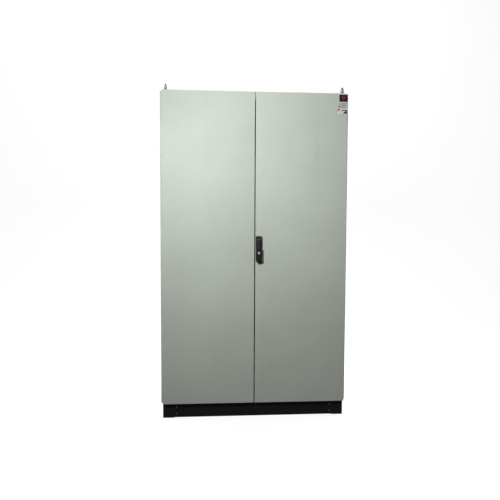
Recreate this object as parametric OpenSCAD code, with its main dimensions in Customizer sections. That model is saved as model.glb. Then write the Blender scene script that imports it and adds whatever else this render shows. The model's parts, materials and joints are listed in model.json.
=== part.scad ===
// Two-door floor-standing drive cabinet on a plinth, with working doors and lock.
// Millimetres. +X right, front is -Y, +Z up, origin under the plinth centre.

/* [Cabinet] */
// Overall width over the side panels
cab_w = 1200; // [1200:50:1400]
// Depth from the door faces to the rear panel
cab_d = 600; // [600:50:800]
// Overall height from the floor to the roof
cab_h = 2100; // [2100:50:2300]
// Height of the plinth under the frame
plinth_h = 100; // [100:50:150]

/* [Doors and lock] */
// Height of the lock spindle above the floor
lock_z = 1160; // [1100:5:1250]
// Length of the swing handle
handle_len = 175; // [170:5:200]
// Hinges on each door
hinge_count = 4; // [3:1:5]

/* [Drive unit] */
// Number of fins on the power heatsink
fin_count = 24; // [16:1:30]
// Number of capacitors in each row of the link bank
cap_columns = 4; // [3:1:4]

/* [Hidden] */
$fn = 48;

// main levels and faces
hx = cab_w / 2;
side_t = 10.5;
fx = hx - side_t;
front = -(cab_d / 2 + 10);
rear = cab_d / 2 - 10;
pf = front + 32;
pr = rear - 12;
z0 = plinth_h;
roof_t = 8;
z1 = cab_h - roof_t;
tube = 50;
post_x = fx - tube / 2;
post_y = pr - tube / 2;
door_z0 = z0;
door_z1 = z1 - 1;

// colours
c_grey = [0.80, 0.81, 0.78];
c_black = [0.05, 0.05, 0.05];
c_zinc = [0.72, 0.73, 0.74];
c_steel = [0.60, 0.61, 0.62];
c_alu = [0.82, 0.83, 0.85];
c_copper = [0.78, 0.45, 0.28];
c_rubber = [0.10, 0.10, 0.10];
c_plastic = [0.16, 0.17, 0.18];
c_light = [0.78, 0.79, 0.80];
c_green = [0.10, 0.35, 0.18];
c_blue = [0.13, 0.22, 0.42];

// a box given by its two corners
module bx(a, b) {
  translate(a)
    cube([b[0] - a[0], b[1] - a[1], b[2] - a[2]]);
}

// square tube along Z, X or Y with wall w
module tube_z(x, y, za, zb, s, w) {
  difference() {
    bx([x - s / 2, y - s / 2, za], [x + s / 2, y + s / 2, zb]);
    bx([x - s / 2 + w, y - s / 2 + w, za - 1], [x + s / 2 - w, y + s / 2 - w, zb + 1]);
  }
}

module tube_x(xa, xb, y, z, s, w) {
  difference() {
    bx([xa, y - s / 2, z - s / 2], [xb, y + s / 2, z + s / 2]);
    bx([xa - 1, y - s / 2 + w, z - s / 2 + w], [xb + 1, y + s / 2 - w, z + s / 2 - w]);
  }
}

module tube_y(x, ya, yb, z, s, w) {
  difference() {
    bx([x - s / 2, ya, z - s / 2], [x + s / 2, yb, z + s / 2]);
    bx([x - s / 2 + w, ya - 1, z - s / 2 + w], [x + s / 2 - w, yb + 1, z + s / 2 - w]);
  }
}

// cylinders along X and Y, starting at the given point
module cyl_x(x, y, z, r, len) {
  translate([x, y, z])
    rotate([0, 90, 0])
      cylinder(r = r, h = len);
}

module cyl_y(x, y, z, r, len) {
  translate([x, y, z])
    rotate([-90, 0, 0])
      cylinder(r = r, h = len);
}

module cyl_z(x, y, z, r, len) {
  translate([x, y, z])
    cylinder(r = r, h = len);
}

// copies at plus and minus X, and at plus and minus Y
module both_x() {
  children();
  mirror([1, 0, 0])
    children();
}

module both_y() {
  children();
  mirror([0, 1, 0])
    children();
}

// ---------------------------------------------------------------- plinth

foot_x = fx - 40;
foot_y = pr - 40;
foot_l = 75;
trim_screw_zs = [28, z0 - 28];

module plinth_corner() {
  difference() {
    union() {
      bx([fx - foot_l, -pf - 3, 0], [fx, -pf, z0]);
      bx([fx - 3, -pf - foot_l, 0], [fx, -pf, z0]);
      bx([fx - foot_l, -pf - foot_l, 0], [fx, -pf, 4]);
      bx([fx - foot_l, -pf - foot_l, z0 - 4], [fx, -pf, z0]);
    }
    cyl_z(foot_x, foot_y, -1, 7, 6);
    cyl_z(foot_x, foot_y, z0 - 5, 7, 6);
  }
}

module plinth_corners() {
  color(c_black)
    both_x()
      both_y()
        plinth_corner();
}

// folded plinth trims between the corner pieces
module trim_front() {
  xe = fx - foot_l;
  difference() {
    union() {
      bx([-xe, pf, 3], [xe, pf + 2, z0 - 3]);
      bx([-xe, pf, 3], [xe, pf + 22, 5]);
      bx([-xe, pf, z0 - 5], [xe, pf + 22, z0 - 3]);
      both_x() {
        bx([xe - 20, pf + 3, 12], [xe + 18, pf + 5, z0 - 12]);
        bx([xe - 20, pf + 2, 12], [xe - 2, pf + 3, z0 - 12]);
      }
    }
    both_x()
      for (z = trim_screw_zs)
        cyl_y(xe - 12, pf - 1, z, 3.2, 8);
  }
}

module trim_side() {
  ye = pr - foot_l;
  difference() {
    union() {
      bx([fx - 2, -ye, 3], [fx, ye, z0 - 3]);
      bx([fx - 22, -ye, 3], [fx, ye, 5]);
      bx([fx - 22, -ye, z0 - 5], [fx, ye, z0 - 3]);
      both_y() {
        bx([fx - 5, ye - 20, 12], [fx - 3, ye + 18, z0 - 12]);
        bx([fx - 3, ye - 20, 12], [fx - 2, ye - 2, z0 - 12]);
      }
    }
    both_y()
      for (z = trim_screw_zs)
        cyl_x(fx - 7, ye - 12, z, 3.2, 8);
  }
}

module plinth_trims() {
  color(c_black) {
    both_y()
      trim_front();
    both_x()
      trim_side();
  }
}

// cross-head screw through the ends of the plinth trims, head towards -Y
module plinth_screw() {
  rotate([90, 0, 0])
    difference() {
      union() {
        cylinder(r1 = 6, r2 = 4.5, h = 3.2);
        translate([0, 0, -8])
          cylinder(r = 3, h = 8.5);
      }
      translate([-3, -0.6, 1.6])
        cube([6, 1.2, 3]);
      translate([-0.6, -3, 1.6])
        cube([1.2, 6, 3]);
    }
}

module plinth_screws() {
  color(c_zinc)
    both_x()
      both_y()
        for (z = trim_screw_zs) {
          translate([fx - foot_l - 12, pf, z])
            plinth_screw();
          translate([fx, pr - foot_l - 12, z])
            rotate([0, 0, 90])
              plinth_screw();
        }
}

// ---------------------------------------------------------------- frame

module post_one() {
  tube_z(post_x, post_y, z0, z1, tube, 2);
  difference() {
    bx([post_x - 23.5, post_y - 23.5, z1 - 20], [post_x + 23.5, post_y + 23.5, z1]);
    cyl_z(post_x, post_y, z1 - 21, 5.05, 22);
  }
}

module frame_posts() {
  color(c_zinc)
    both_x()
      both_y()
        post_one();
}

module frame_rails() {
  color(c_zinc)
    for (z = [z0 + tube / 2, z1 - tube / 2]) {
      both_y()
        tube_x(-(fx - tube), fx - tube, post_y, z, tube, 2);
      both_x()
        tube_y(post_x, -(pr - tube), pr - tube, z, tube, 2);
    }
}

// channel behind the gap between the doors
module centre_post() {
  za = z0 + tube;
  zb = z1 - tube;
  color(c_black) {
    bx([-30, pf, za], [30, pf + 2, zb]);
    both_x() {
      bx([28, pf, za], [30, pf + 40, zb]);
      bx([14, pf + 38, za], [30, pf + 40, zb]);
    }
    bx([-30, pf, za], [30, pf + 40, za + 3]);
    bx([-30, pf, zb - 3], [30, pf + 40, zb]);
  }
}

// strips on the rear posts that carry the mounting plate
plate_z0 = z0 + 380;
plate_z1 = z0 + 1700;
plate_y = pr - 73;
bolt_rows = [plate_z0 + 60, (plate_z0 + plate_z1) / 2, plate_z1 - 60];

module plate_rails() {
  both_x() {
    difference() {
      bx([fx - 95, plate_y + 18, plate_z0], [fx - 25, plate_y + 23, plate_z1]);
      for (z = bolt_rows)
        cyl_y(fx - 82, plate_y + 10, z, 4.1, 20);
    }
    for (z = bolt_rows)
      difference() {
        cyl_y(fx - 82, plate_y + 3, z, 9, 15.5);
        cyl_y(fx - 82, plate_y + 2, z, 4.1, 18);
      }
  }
}

// depth shift of what stands in front of the mounting plate, zero in a 600 mm cabinet
eq_y = plate_y - 205;

// two channels over the floor plates that carry the reactors
support_ys = [eq_y + 10, eq_y + 100];

module support_rails() {
  xe = fx - 12;
  for (y = support_ys) {
    bx([-xe, y, z0 + 75], [xe, y + 40, z0 + 77]);
    bx([-xe, y, z0 + 54], [xe, y + 2, z0 + 77]);
    bx([-xe, y + 38, z0 + 54], [xe, y + 40, z0 + 77]);
    both_x() {
      bx([fx - 36, y, z0 + 50], [xe, y + 40, z0 + 54]);
      bx([fx - 36, y, z0 + 50], [fx - 34, y + 40, z0 + 77]);
    }
  }
}

module inner_rails() {
  color(c_zinc) {
    plate_rails();
    support_rails();
  }
}

// ---------------------------------------------------------------- panels

module roof_panel() {
  rx = fx - 3.5;
  ry = pr + 6;
  color(c_grey)
    difference() {
      union() {
        difference() {
          bx([-rx, -ry, z1], [rx, ry, cab_h]);
          bx([-rx + 2, -ry + 2, z1 - 1], [rx - 2, ry - 2, cab_h - 2]);
        }
        both_x()
          both_y()
            bx([post_x - 19, post_y - 19, z1], [post_x + 19, post_y + 19, cab_h - 1]);
      }
      both_x()
        both_y()
          cyl_z(post_x, post_y, z1 - 1, 5.4, roof_t + 2);
    }
}

module side_panel() {
  ya = pf - 4;
  yb = pr + 2;
  za = z0 + 2;
  color(c_grey) {
    difference() {
      bx([fx, ya, za], [hx, yb, z1]);
      bx([fx - 1, ya + 1.5, za + 1.5], [hx - 1.5, yb - 1.5, z1 - 1.5]);
    }
    for (z = [za + 640, za + 1300])
      difference() {
        bx([fx, ya + 1, z], [hx - 1, yb - 1, z + 60]);
        bx([fx + 1.5, ya - 1, z + 1.5], [hx, yb + 1, z + 58.5]);
      }
  }
}

module right_side_panel() {
  side_panel();
}

module left_side_panel() {
  mirror([1, 0, 0])
    side_panel();
}

// filter fan low on one side of the rear panel, exhaust grille high on the other
fan_x = 280;
fan_z = z0 + 205;
vent_x = -280;
vent_z = z1 - 154;

module rear_panel() {
  xe = fx - 1.5;
  za = z0 + 2;
  color(c_grey)
    difference() {
      bx([-xe, pr, za], [xe, rear, z1]);
      bx([-xe + 1.5, pr - 1, za + 1.5], [xe - 1.5, rear - 1.5, z1 - 1.5]);
      bx([fan_x - 104, pr, fan_z - 104], [fan_x + 104, rear + 1, fan_z + 104]);
      bx([vent_x - 104, pr, vent_z - 104], [vent_x + 104, rear + 1, vent_z + 104]);
    }
}

gland_xs = [-330, -110, 110, 330];
gland_z = z0 + 50;

module gland_plates() {
  color(c_zinc)
    difference() {
      for (y = [[-pr + tube + 0.5, -76], [-75, 75], [76, pr - tube - 0.5]])
        bx([-(fx - 39.5), y[0], gland_z], [fx - 39.5, y[1], gland_z + 2]);
      for (x = gland_xs)
        cyl_z(x, -150, gland_z - 1, 31.7, 4);
    }
}

// large cable glands for the supply and motor cables
module cable_glands() {
  color(c_plastic)
    for (x = gland_xs)
      translate([x, -150, gland_z])
        difference() {
          union() {
            translate([0, 0, -28])
              cylinder(r1 = 27, r2 = 33, h = 10);
            translate([0, 0, -18])
              cylinder(r = 38, h = 18, $fn = 6);
            translate([0, 0, -0.5])
              cylinder(r = 31.5, h = 15);
            translate([0, 0, 2])
              cylinder(r = 38, h = 8, $fn = 6);
          }
          translate([0, 0, -29])
            cylinder(r = 22, h = 60);
        }
}

// forged ring bolts on the four roof corners, wide at the collar and thin at the top
eye_r = 12.5;
eye_rim = 22.5;
eye_top = 2 * eye_rim;

module lifting_eye() {
  translate([0, 0, -28.5])
    cylinder(r = 5, h = 29);
  cylinder(r = eye_r, h = 4);
  difference() {
    intersection() {
      cyl_x(-10, 0, eye_rim, eye_rim, 20);
      translate([0, eye_rim, 0])
        rotate([90, 0, 0])
          linear_extrude(height = eye_top)
            polygon([[-9.5, 3], [9.5, 3], [2.5, eye_top], [-2.5, eye_top]]);
    }
    cyl_x(-11, 0, eye_rim, eye_r, 22);
    both_x()
      translate([3.5, 0, eye_rim])
        rotate([0, 90, 0])
          cylinder(r1 = eye_r, r2 = eye_r + 7, h = 7);
  }
}

module lifting_eyes() {
  color(c_steel)
    both_x()
      both_y()
        translate([post_x, post_y, cab_h])
          lifting_eye();
}

// ---------------------------------------------------------------- hinges

// pivot of the right door and the height of each hinge
hp_x = fx - 12;
hp_y = front + 12;
hinge_a = door_z0 + 157;
hinge_step = (door_z1 - door_z0 - 313) / (hinge_count - 1);
hinge_zs = [for (i = [0:hinge_count - 1]) hinge_a + i * hinge_step];

// fixed knuckle, neck and base plate on the front of the post
module hinge_bracket(z) {
  difference() {
    union() {
      cyl_z(hp_x, hp_y, z - 25, 5.5, 50);
      bx([hp_x - 2, hp_y, z - 25], [hp_x + 2, pf - 1, z + 25]);
      bx([fx - 26, pf - 2.5, z - 25], [fx - 3.5, pf, z + 25]);
    }
    cyl_z(hp_x, hp_y, z - 26, 3.05, 52);
  }
}

module hinge_brackets() {
  color(c_zinc)
    both_x()
      for (z = hinge_zs)
        hinge_bracket(z);
}

module hinge_pins() {
  color(c_steel)
    both_x()
      for (z = hinge_zs) {
        cyl_z(hp_x, hp_y, z - 41, 3, 84);
        cyl_z(hp_x, hp_y, z + 41, 5, 3);
      }
}

// leaf fixed to the inside of the door skin, knuckles above and below
module hinge_leaf(z) {
  difference() {
    union() {
      bx([hp_x - 34.5, front + 2, z - 42], [hp_x, front + 5, z + 42]);
      for (a = [z - 40, z + 25.3]) {
        cyl_z(hp_x, hp_y, a, 5.5, 14.7);
        bx([hp_x - 5.5, front + 2, a], [hp_x + 5.5, hp_y, a + 14.7]);
      }
    }
    cyl_z(hp_x, hp_y, z - 43, 3.05, 86);
  }
}

module right_hinge_leaves() {
  color(c_zinc)
    for (z = hinge_zs)
      hinge_leaf(z);
}

module left_hinge_leaves() {
  mirror([1, 0, 0])
    right_hinge_leaves();
}

// ---------------------------------------------------------------- doors

// spindle distance from the cabinet centre for each door
lock_r = 24;
lock_l = 56;

// folded door pan: skin, walls and return flange
module door_pan(lx, spindle_r) {
  difference() {
    bx([3, front, door_z0], [fx, front + 20, door_z1]);
    bx([5, front + 2, door_z0 + 2], [fx - 2, front + 18, door_z1 - 2]);
    bx([lx + 23, front + 17, door_z0 + 40], [fx - 40, front + 21, door_z1 - 40]);
    for (z = hinge_zs)
      bx([hp_x - 3.5, front + 2, z - 26], [fx + 1, front + 21, z + 26]);
    if (spindle_r > 0)
      cyl_y(lx, front - 1, lock_z, spindle_r, 4);
    cyl_y(lx, front + 17, lock_z, 6.5, 4);
  }
}

module right_door() {
  color(c_grey)
    door_pan(lock_r, 7);
}

module left_door() {
  color(c_grey)
    mirror([1, 0, 0])
      door_pan(lock_l, 0);
}

// rectangular tube frame welded to the inside of the skin
module door_frame(lx) {
  xa = lx + 24;
  xb = fx - 52.5;
  za = z0 + 75;
  zb = z1 - 75;
  color(c_zinc) {
    for (x = [xa, xb - 20])
      difference() {
        bx([x, front + 2, za], [x + 20, front + 42, zb]);
        bx([x + 1.5, front + 3.5, za - 1], [x + 18.5, front + 40.5, zb + 1]);
        for (i = [1:23])
          cyl_y(x + 10, front + 38, za + i * (zb - za) / 24, 4.5, 6);
      }
    for (z = [za, zb - 20])
      difference() {
        bx([xa + 20, front + 2, z], [xb - 20, front + 42, z + 20]);
        bx([xa + 19, front + 3.5, z + 1.5], [xb - 19, front + 40.5, z + 18.5]);
        for (i = [1:5])
          cyl_y(xa + 20 + i * (xb - xa - 40) / 6, front + 38, z + 10, 4.5, 6);
      }
  }
}

module right_door_stiffener() {
  door_frame(lock_r);
}

module left_door_stiffener() {
  mirror([1, 0, 0])
    door_frame(lock_l);
}

module door_seal() {
  color(c_rubber)
    difference() {
      bx([5.2, front + 20, door_z0 + 10], [fx - 27, pf - 0.3, door_z1 - 10]);
      bx([9.6, front + 19, door_z0 + 20], [fx - 37, pf + 1, door_z1 - 20]);
    }
}

module right_door_gasket() {
  door_seal();
}

module left_door_gasket() {
  mirror([1, 0, 0])
    door_seal();
}

// ---------------------------------------------------------------- locks

// rod lock: pinion on the spindle, one toothed rod up and one down
rod_y0 = front + 23;
rod_y1 = front + 27;
pitch_m = 1.5;
pitch = PI * pitch_m;
pinion_n = 10;
pitch_r = pitch_m * pinion_n / 2;
press_a = 25;
base_r = pitch_r * cos(press_a);
tip_r = pitch_r + 0.8 * pitch_m;

function inv_deg(a) = tan(a) * 180 / PI - a;

function half_deg(r) = 90 / pinion_n - 1.146 + inv_deg(press_a) - inv_deg(acos(base_r / r));

flank_rs = [base_r, 7.2, 7.7, 8.2, tip_r];

tooth_left = [for (r = flank_rs) [r * cos(half_deg(r)), r * sin(half_deg(r))]];
tooth_right = [for (i = [4:-1:0]) [flank_rs[i] * cos(half_deg(flank_rs[i])),
                                   -flank_rs[i] * sin(half_deg(flank_rs[i]))]];

module pinion_2d() {
  circle(r = 5.9);
  for (i = [0:pinion_n - 1])
    rotate(i * 360 / pinion_n)
      polygon(concat([[5.2, 0.86]], tooth_left, tooth_right, [[5.2, -0.86]]));
}

// spindle gear lying in the XZ plane at the given place
module pinion(lx) {
  translate([lx, rod_y1, lock_z])
    rotate([90, 0, 0])
      linear_extrude(height = 4)
        pinion_2d();
}

// toothed rod above the spindle, drawn about the spindle axis
module rod_2d(len) {
  tt = tan(press_a);
  polygon([[-12.9, -22], [-9.3, -22], [-9.3, 40], [-12.9, 40]]);
  for (k = [-3:4])
    polygon([[-9.5, (k + 0.5) * pitch - pitch / 4 - 1.8 * tt],
             [-9.3, (k + 0.5) * pitch - pitch / 4 - 1.8 * tt],
             [-6.3, (k + 0.5) * pitch - pitch / 4 + 1.2 * tt],
             [-6.3, (k + 0.5) * pitch + pitch / 4 - 1.2 * tt],
             [-9.3, (k + 0.5) * pitch + pitch / 4 + 1.8 * tt],
             [-9.5, (k + 0.5) * pitch + pitch / 4 + 1.8 * tt]]);
  translate([-12.9, 24])
    square([16.9, 16]);
  translate([-10, 24])
    square([14, len - 24]);
}

module rod(lx, len, turn) {
  color(c_zinc)
    translate([lx, rod_y1, lock_z])
      rotate([90, turn, 0])
        linear_extrude(height = 4)
          rod_2d(len);
}

rod_up = z1 - 49.5 - lock_z;
rod_down = lock_z - z0 - 49.5;

module right_upper_rod() {
  rod(lock_r, rod_up, 0);
}

module right_lower_rod() {
  rod(lock_r, rod_down, 180);
}

module left_upper_rod() {
  mirror([1, 0, 0])
    rod(lock_l, rod_up, 0);
}

module left_lower_rod() {
  mirror([1, 0, 0])
    rod(lock_l, rod_down, 180);
}

// slotted block that guides a rod; xa is the left edge of the rod
module rod_guide(xa, z) {
  difference() {
    bx([xa - 4, front + 20, z - 10], [xa + 17.5, front + 31, z + 10]);
    bx([xa - 0.25, rod_y0 - 0.25, z - 11], [xa + 14.25, rod_y1 + 0.25, z + 11]);
  }
}

// cover plate, spacers and guides around the rod lock
module lock_case(lx) {
  color(c_zinc) {
    difference() {
      bx([lx - 14, front + 29, lock_z - 41], [lx + 14.5, front + 30.5, lock_z + 41]);
      cyl_y(lx, front + 28, lock_z, 4.1, 4);
    }
    cyl_y(lx - 9, front + 20, lock_z - 38, 2.5, 9.2);
    cyl_y(lx + 9, front + 20, lock_z + 38, 2.5, 9.2);
    bx([lx - 14, front + 20, lock_z - 34], [lx - 13.15, front + 29, lock_z + 34]);
    bx([lx + 13.15, front + 20, lock_z - 34], [lx + 14.5, front + 29, lock_z + 34]);
    for (z = [lock_z + 200, (lock_z + z1) / 2, z1 - 80])
      rod_guide(lx - 10, z);
    for (z = [lock_z - 200, (lock_z + z0) / 2, z0 + 80])
      rod_guide(lx - 4, z);
  }
}

module right_lock_case() {
  lock_case(lock_r);
}

module left_lock_case() {
  mirror([1, 0, 0])
    lock_case(lock_l);
}

// sockets on the frame rails that receive the rods
module rod_keeper(xa, z) {
  difference() {
    bx([xa - 3, front + 20.7, z], [xa + 17, pf, z + 22]);
    bx([xa - 1, front + 22.2, z - 1], [xa + 15, pf - 2, z + 23]);
  }
}

module rod_keepers() {
  color(c_zinc) {
    rod_keeper(lock_r - 10, z1 - 48);
    rod_keeper(lock_r - 4, z0 + 26);
    mirror([1, 0, 0]) {
      rod_keeper(lock_l - 10, z1 - 48);
      rod_keeper(lock_l - 4, z0 + 26);
    }
  }
}

// lever inside the left door
module left_lock_lever() {
  ly = front + 44;
  color(c_zinc)
    mirror([1, 0, 0]) {
      pinion(lock_l);
      cyl_y(lock_l, front + 17.5, lock_z, 6, 6);
      cyl_y(lock_l, rod_y1 - 0.1, lock_z, 4, ly + 6 - rod_y1 + 0.1);
      cyl_y(lock_l, front + 31.2, lock_z, 7, 13);
      translate([lock_l, ly + 6, lock_z])
        rotate([90, 0, 0])
          linear_extrude(height = 6) {
            circle(r = 11);
            translate([-7, -100])
              square([14, 100]);
            translate([0, -100])
              circle(r = 7);
          }
      cyl_y(lock_l, ly + 5, lock_z, 5, 5);
    }
}

// ---------------------------------------------------------------- handle

h_top = lock_z + 23;
h_bot = h_top - handle_len;
pin_y = front - 21.5;
key_z = lock_z - 83;

// flat base plate, wider below the step and cut off at the lower left
module handle_base() {
  step = h_bot + 88;
  color(c_plastic)
    translate([0, front, 0])
      rotate([90, 0, 0])
        linear_extrude(height = 8)
          difference() {
            union() {
              polygon([[5, h_bot + 20], [28, h_bot], [53, h_bot], [56, h_bot + 3],
                       [56, step - 4], [49, step + 3], [49, h_top - 8], [41, h_top - 8],
                       [41, h_top], [5, h_top]]);
              translate([41, h_top - 8])
                circle(r = 8);
            }
            translate([lock_r, lock_z])
              circle(r = 16.4);
          }
}

// turret, spindle, gear and tongue in one turning piece
module handle_hub() {
  color(c_plastic) {
    cyl_y(lock_r, front - 9, lock_z, 16, 8.5);
    cyl_y(lock_r, front - 1, lock_z, 6, rod_y0 - front + 1.5);
    pinion(lock_r);
    cyl_y(lock_r, rod_y1 - 0.1, lock_z, 4, 4.6);
    difference() {
      union() {
        bx([lock_r - 5, pin_y, lock_z - 7], [lock_r + 5, front - 8.5, lock_z + 7]);
        cyl_x(lock_r - 5, pin_y, lock_z, 7, 10);
      }
      cyl_x(lock_r - 6, pin_y, lock_z, 2.56, 12);
    }
  }
}

// swing lever that folds out about its pin
module handle_lever() {
  color(c_plastic) {
    difference() {
      union() {
        translate([0, pin_y + 11, 0])
          rotate([90, 0, 0])
            linear_extrude(height = 22)
              polygon([[7, h_bot + 21], [26, h_bot + 9], [34, h_bot + 9], [40, h_bot + 15],
                       [40, lock_z], [7, lock_z]]);
        cyl_x(7, pin_y, lock_z, 11, 33);
      }
      bx([lock_r - 5.6, pin_y - 3, lock_z - 7.6], [lock_r + 5.6, pin_y + 13, lock_z + 12]);
      cyl_x(lock_r - 5.6, pin_y, lock_z, 7.6, 11.2);
      bx([11, pin_y + 2, h_bot + 26], [36, pin_y + 12, key_z - 14]);
      bx([11, pin_y + 2, key_z + 14], [36, pin_y + 12, lock_z - 14]);
      cyl_y(lock_r, pin_y - 12, key_z, 7.05, 24);
      cyl_y(lock_r, pin_y + 5.5, key_z, 10, 6);
    }
    cyl_x(lock_r - 6, pin_y, lock_z, 2.5, 12);
  }
}

// key barrel with its keyway and cam
module key_cylinder() {
  color(c_zinc)
    difference() {
      union() {
        cyl_y(lock_r, pin_y - 12, key_z, 7, 18);
        cyl_y(lock_r, pin_y + 5.8, key_z, 4, 5);
        bx([lock_r - 3, pin_y + 6.5, key_z - 8.5], [lock_r + 3, pin_y + 9.5, key_z]);
      }
      bx([lock_r - 0.8, pin_y - 13, key_z - 4], [lock_r + 0.8, pin_y - 4, key_z + 4]);
    }
}

// ---------------------------------------------------------------- inside the cabinet

// zinc plate on the rear strips that carries the drive and the switchgear
module mounting_plate() {
  xe = fx - 69.5;
  color(c_zinc)
    difference() {
      union() {
        bx([-xe, plate_y, plate_z0], [xe, plate_y + 3, plate_z1]);
        both_x()
          bx([xe - 2, plate_y, plate_z0], [xe, plate_y + 18, plate_z1]);
        for (z = [plate_z0, plate_z1 - 2])
          bx([-xe, plate_y, z], [xe, plate_y + 18, z + 2]);
      }
      both_x()
        for (z = bolt_rows)
          cyl_y(fx - 82, plate_y - 1, z, 4.1, 6);
    }
}

module plate_screws() {
  color(c_zinc)
    both_x()
      for (z = bolt_rows) {
        cyl_y(fx - 82, plate_y - 5.3, z, 4, 28.3);
        translate([fx - 82, plate_y - 5.3, z])
          rotate([-90, 0, 0])
            cylinder(r = 7.5, h = 5.3, $fn = 6);
      }
}

module cabinet_screws() {
  plinth_screws();
  plate_screws();
}

// drive chassis on the left of the plate
dx0 = -490;
dx1 = -60;
dxc = (dx0 + dx1) / 2;
dz0 = z0 + 540;
dz1 = z0 + 1540;
dy_split = plate_y - 255;
dy_front = plate_y - 330;
sink_y = plate_y - 130;

module drive_chassis() {
  color(c_light)
    difference() {
      bx([dx0, dy_split, dz0], [dx1, plate_y, dz1]);
      bx([dx0 + 2, dy_split - 1, dz0 + 2], [dx1 - 2, plate_y - 2, dz1 - 2]);
      for (z = [dz0, dz1])
        bx([dx0 + 25, sink_y - 13, z - 3], [dx1 - 25, plate_y - 5, z + 3]);
      for (i = [0:2]) {
        cyl_z(cable_in_x[i], cable_in_y, dz0 - 1, 10, 4);
        cyl_z(cable_out_x[i], cable_out_y, dz0 - 1, 10, 4);
      }
      for (x = [dx0, dx1])
        for (i = [0:9])
          bx([x - 3, dy_split + 30, dz1 - 300 + i * 24], [x + 3, dy_split + 100, dz1 - 290 + i * 24]);
    }
}

module drive_cover() {
  color(c_light)
    difference() {
      bx([dx0, dy_front, dz0], [dx1, dy_split, dz1]);
      bx([dx0 + 2.5, dy_front + 2.5, dz0 + 2.5], [dx1 - 2.5, dy_split + 1, dz1 - 2.5]);
      bx([dx0 + 30, dy_front - 1, dz0 + 330], [dx1 - 30, dy_front + 1.2, dz0 + 334]);
      for (i = [0:13])
        bx([dxc - 150, dy_front - 1, dz0 + 60 + i * 14], [dxc + 150, dy_front + 4, dz0 + 66 + i * 14]);
      bx([dxc - 20, dy_front - 1, dz0 + 690], [dxc + 20, dy_front + 4, dz0 + 730]);
    }
}

// operator panel on the drive cover
module drive_keypad() {
  y = dy_front - 18;
  za = dz0 + 640;
  color(c_plastic)
    difference() {
      union() {
        bx([dxc - 38, y + 2, za], [dxc + 38, dy_front, za + 150]);
        bx([dxc - 36, y, za + 2], [dxc + 36, y + 3, za + 148]);
        for (i = [-1:1])
          for (k = [0:2])
            cyl_y(dxc + i * 20, y - 1.5, za + 22 + k * 19, 6.5, 3);
      }
      bx([dxc - 30, y - 1, za + 82], [dxc + 30, y + 1.5, za + 138]);
    }
}

// finned extrusion in the air duct at the back of the drive
module heatsink() {
  xa = dx0 + 27;
  w = dx1 - dx0 - 54;
  za = dz0 + 60;
  gap = (w - 4) / (fin_count - 1);
  color(c_alu)
    translate([0, 0, za])
      linear_extrude(height = 800) {
        translate([xa, sink_y - 13])
          square([w, 13]);
        for (i = [0:fin_count - 1])
          translate([xa + i * gap, sink_y - 1])
            square([4, 124]);
      }
}

module igbt_modules() {
  color(c_plastic)
    for (i = [-1:1])
      translate([dxc + i * 125, sink_y - 13, dz0 + 300]) {
        bx([-50, -30, 0], [50, 0, 150]);
        bx([-42, -35, 12], [42, -29, 138]);
        for (k = [-1:1])
          bx([k * 28 - 10, -38, 142], [k * 28 + 10, -30, 149]);
      }
}

module dc_capacitors() {
  color(c_blue)
    for (i = [0:cap_columns - 1])
      for (k = [0, 1])
        translate([dxc + (i - (cap_columns - 1) / 2) * 90, sink_y - 13, dz0 + 110 + k * 90])
          rotate([90, 0, 0]) {
            cylinder(r = 37.5, h = 96);
            cylinder(r = 39, h = 6);
            for (x = [-11, 11])
              translate([x, 0, 95])
                cylinder(r = 6, h = 5);
          }
}

module control_board() {
  y = dy_split + 22;
  xa = dx0 + 25;
  xb = dx1 - 25;
  za = dz0 + 500;
  zb = dz0 + 900;
  color(c_green) {
    bx([xa, y, za], [xb, y + 1.6, zb - 60]);
    for (x = [xa + 12, xb - 12])
      for (z = [za + 12, zb - 72])
        cyl_y(x, y + 1.5, z, 4, sink_y - 13 - y - 1.5);
    for (i = [0:5])
      bx([xa + 30 + i * 58, y - 12, za + 6], [xa + 76 + i * 58, y + 0.1, za + 24]);
    bx([dxc - 22, y - 3, za + 150], [dxc + 22, y + 0.1, za + 194]);
    bx([dxc - 130, y - 3, za + 160], [dxc - 105, y + 0.1, za + 185]);
    bx([dxc + 90, y - 18, za + 230], [dxc + 150, y + 0.1, za + 290]);
    for (i = [0:4])
      cyl_y(dxc - 140 + i * 30, y - 14, za + 250, 8, 14.2);
  }
}

// cooling fan on top of the heatsink duct
dfan_y = sink_y + 58;
dfan_r = 52;

module drive_fan_frame() {
  color(c_plastic) {
    difference() {
      bx([dxc - 60, dfan_y - 60, dz1], [dxc + 60, dfan_y + 60, dz1 + 38]);
      cyl_z(dxc, dfan_y, dz1 - 1, dfan_r + 3, 40);
      both_y_at(dfan_y)
        for (x = [dxc - 52, dxc + 52])
          cyl_z(x, dfan_y + 52, dz1 - 1, 2.2, 40);
    }
    cyl_z(dxc, dfan_y, dz1 + 0.5, 20, 4);
    for (a = [0:90:270])
      translate([dxc, dfan_y, dz1])
        rotate([0, 0, a + 20])
          bx([18, -3, 0.5], [dfan_r + 4, 3, 4.5]);
  }
}

// copies mirrored about a plane across Y
module both_y_at(y) {
  children();
  translate([0, 2 * y, 0])
    mirror([0, 1, 0])
      children();
}

// fan wheel turning about Z: hub and flat pitched blades
module fan_wheel(r_hub, r_tip, h, blades) {
  cylinder(r = r_hub, h = h);
  intersection() {
    difference() {
      cylinder(r = r_tip, h = h);
      translate([0, 0, -1])
        cylinder(r = r_hub - 2, h = h + 2);
    }
    for (i = [0:blades - 1])
      rotate([0, 0, i * 360 / blades])
        translate([0, 0, h / 2])
          rotate([38, 0, 0])
            bx([0, -h, -1], [r_tip + 2, h, 1]);
  }
}

module drive_fan_rotor() {
  color(c_rubber)
    translate([dxc, dfan_y, dz1 + 5.5])
      fan_wheel(21, dfan_r, 26, 7);
}

// ---------------------------------------------------------------- switchgear

sw_x = 110;
brk_z0 = z0 + 1410;

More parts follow.
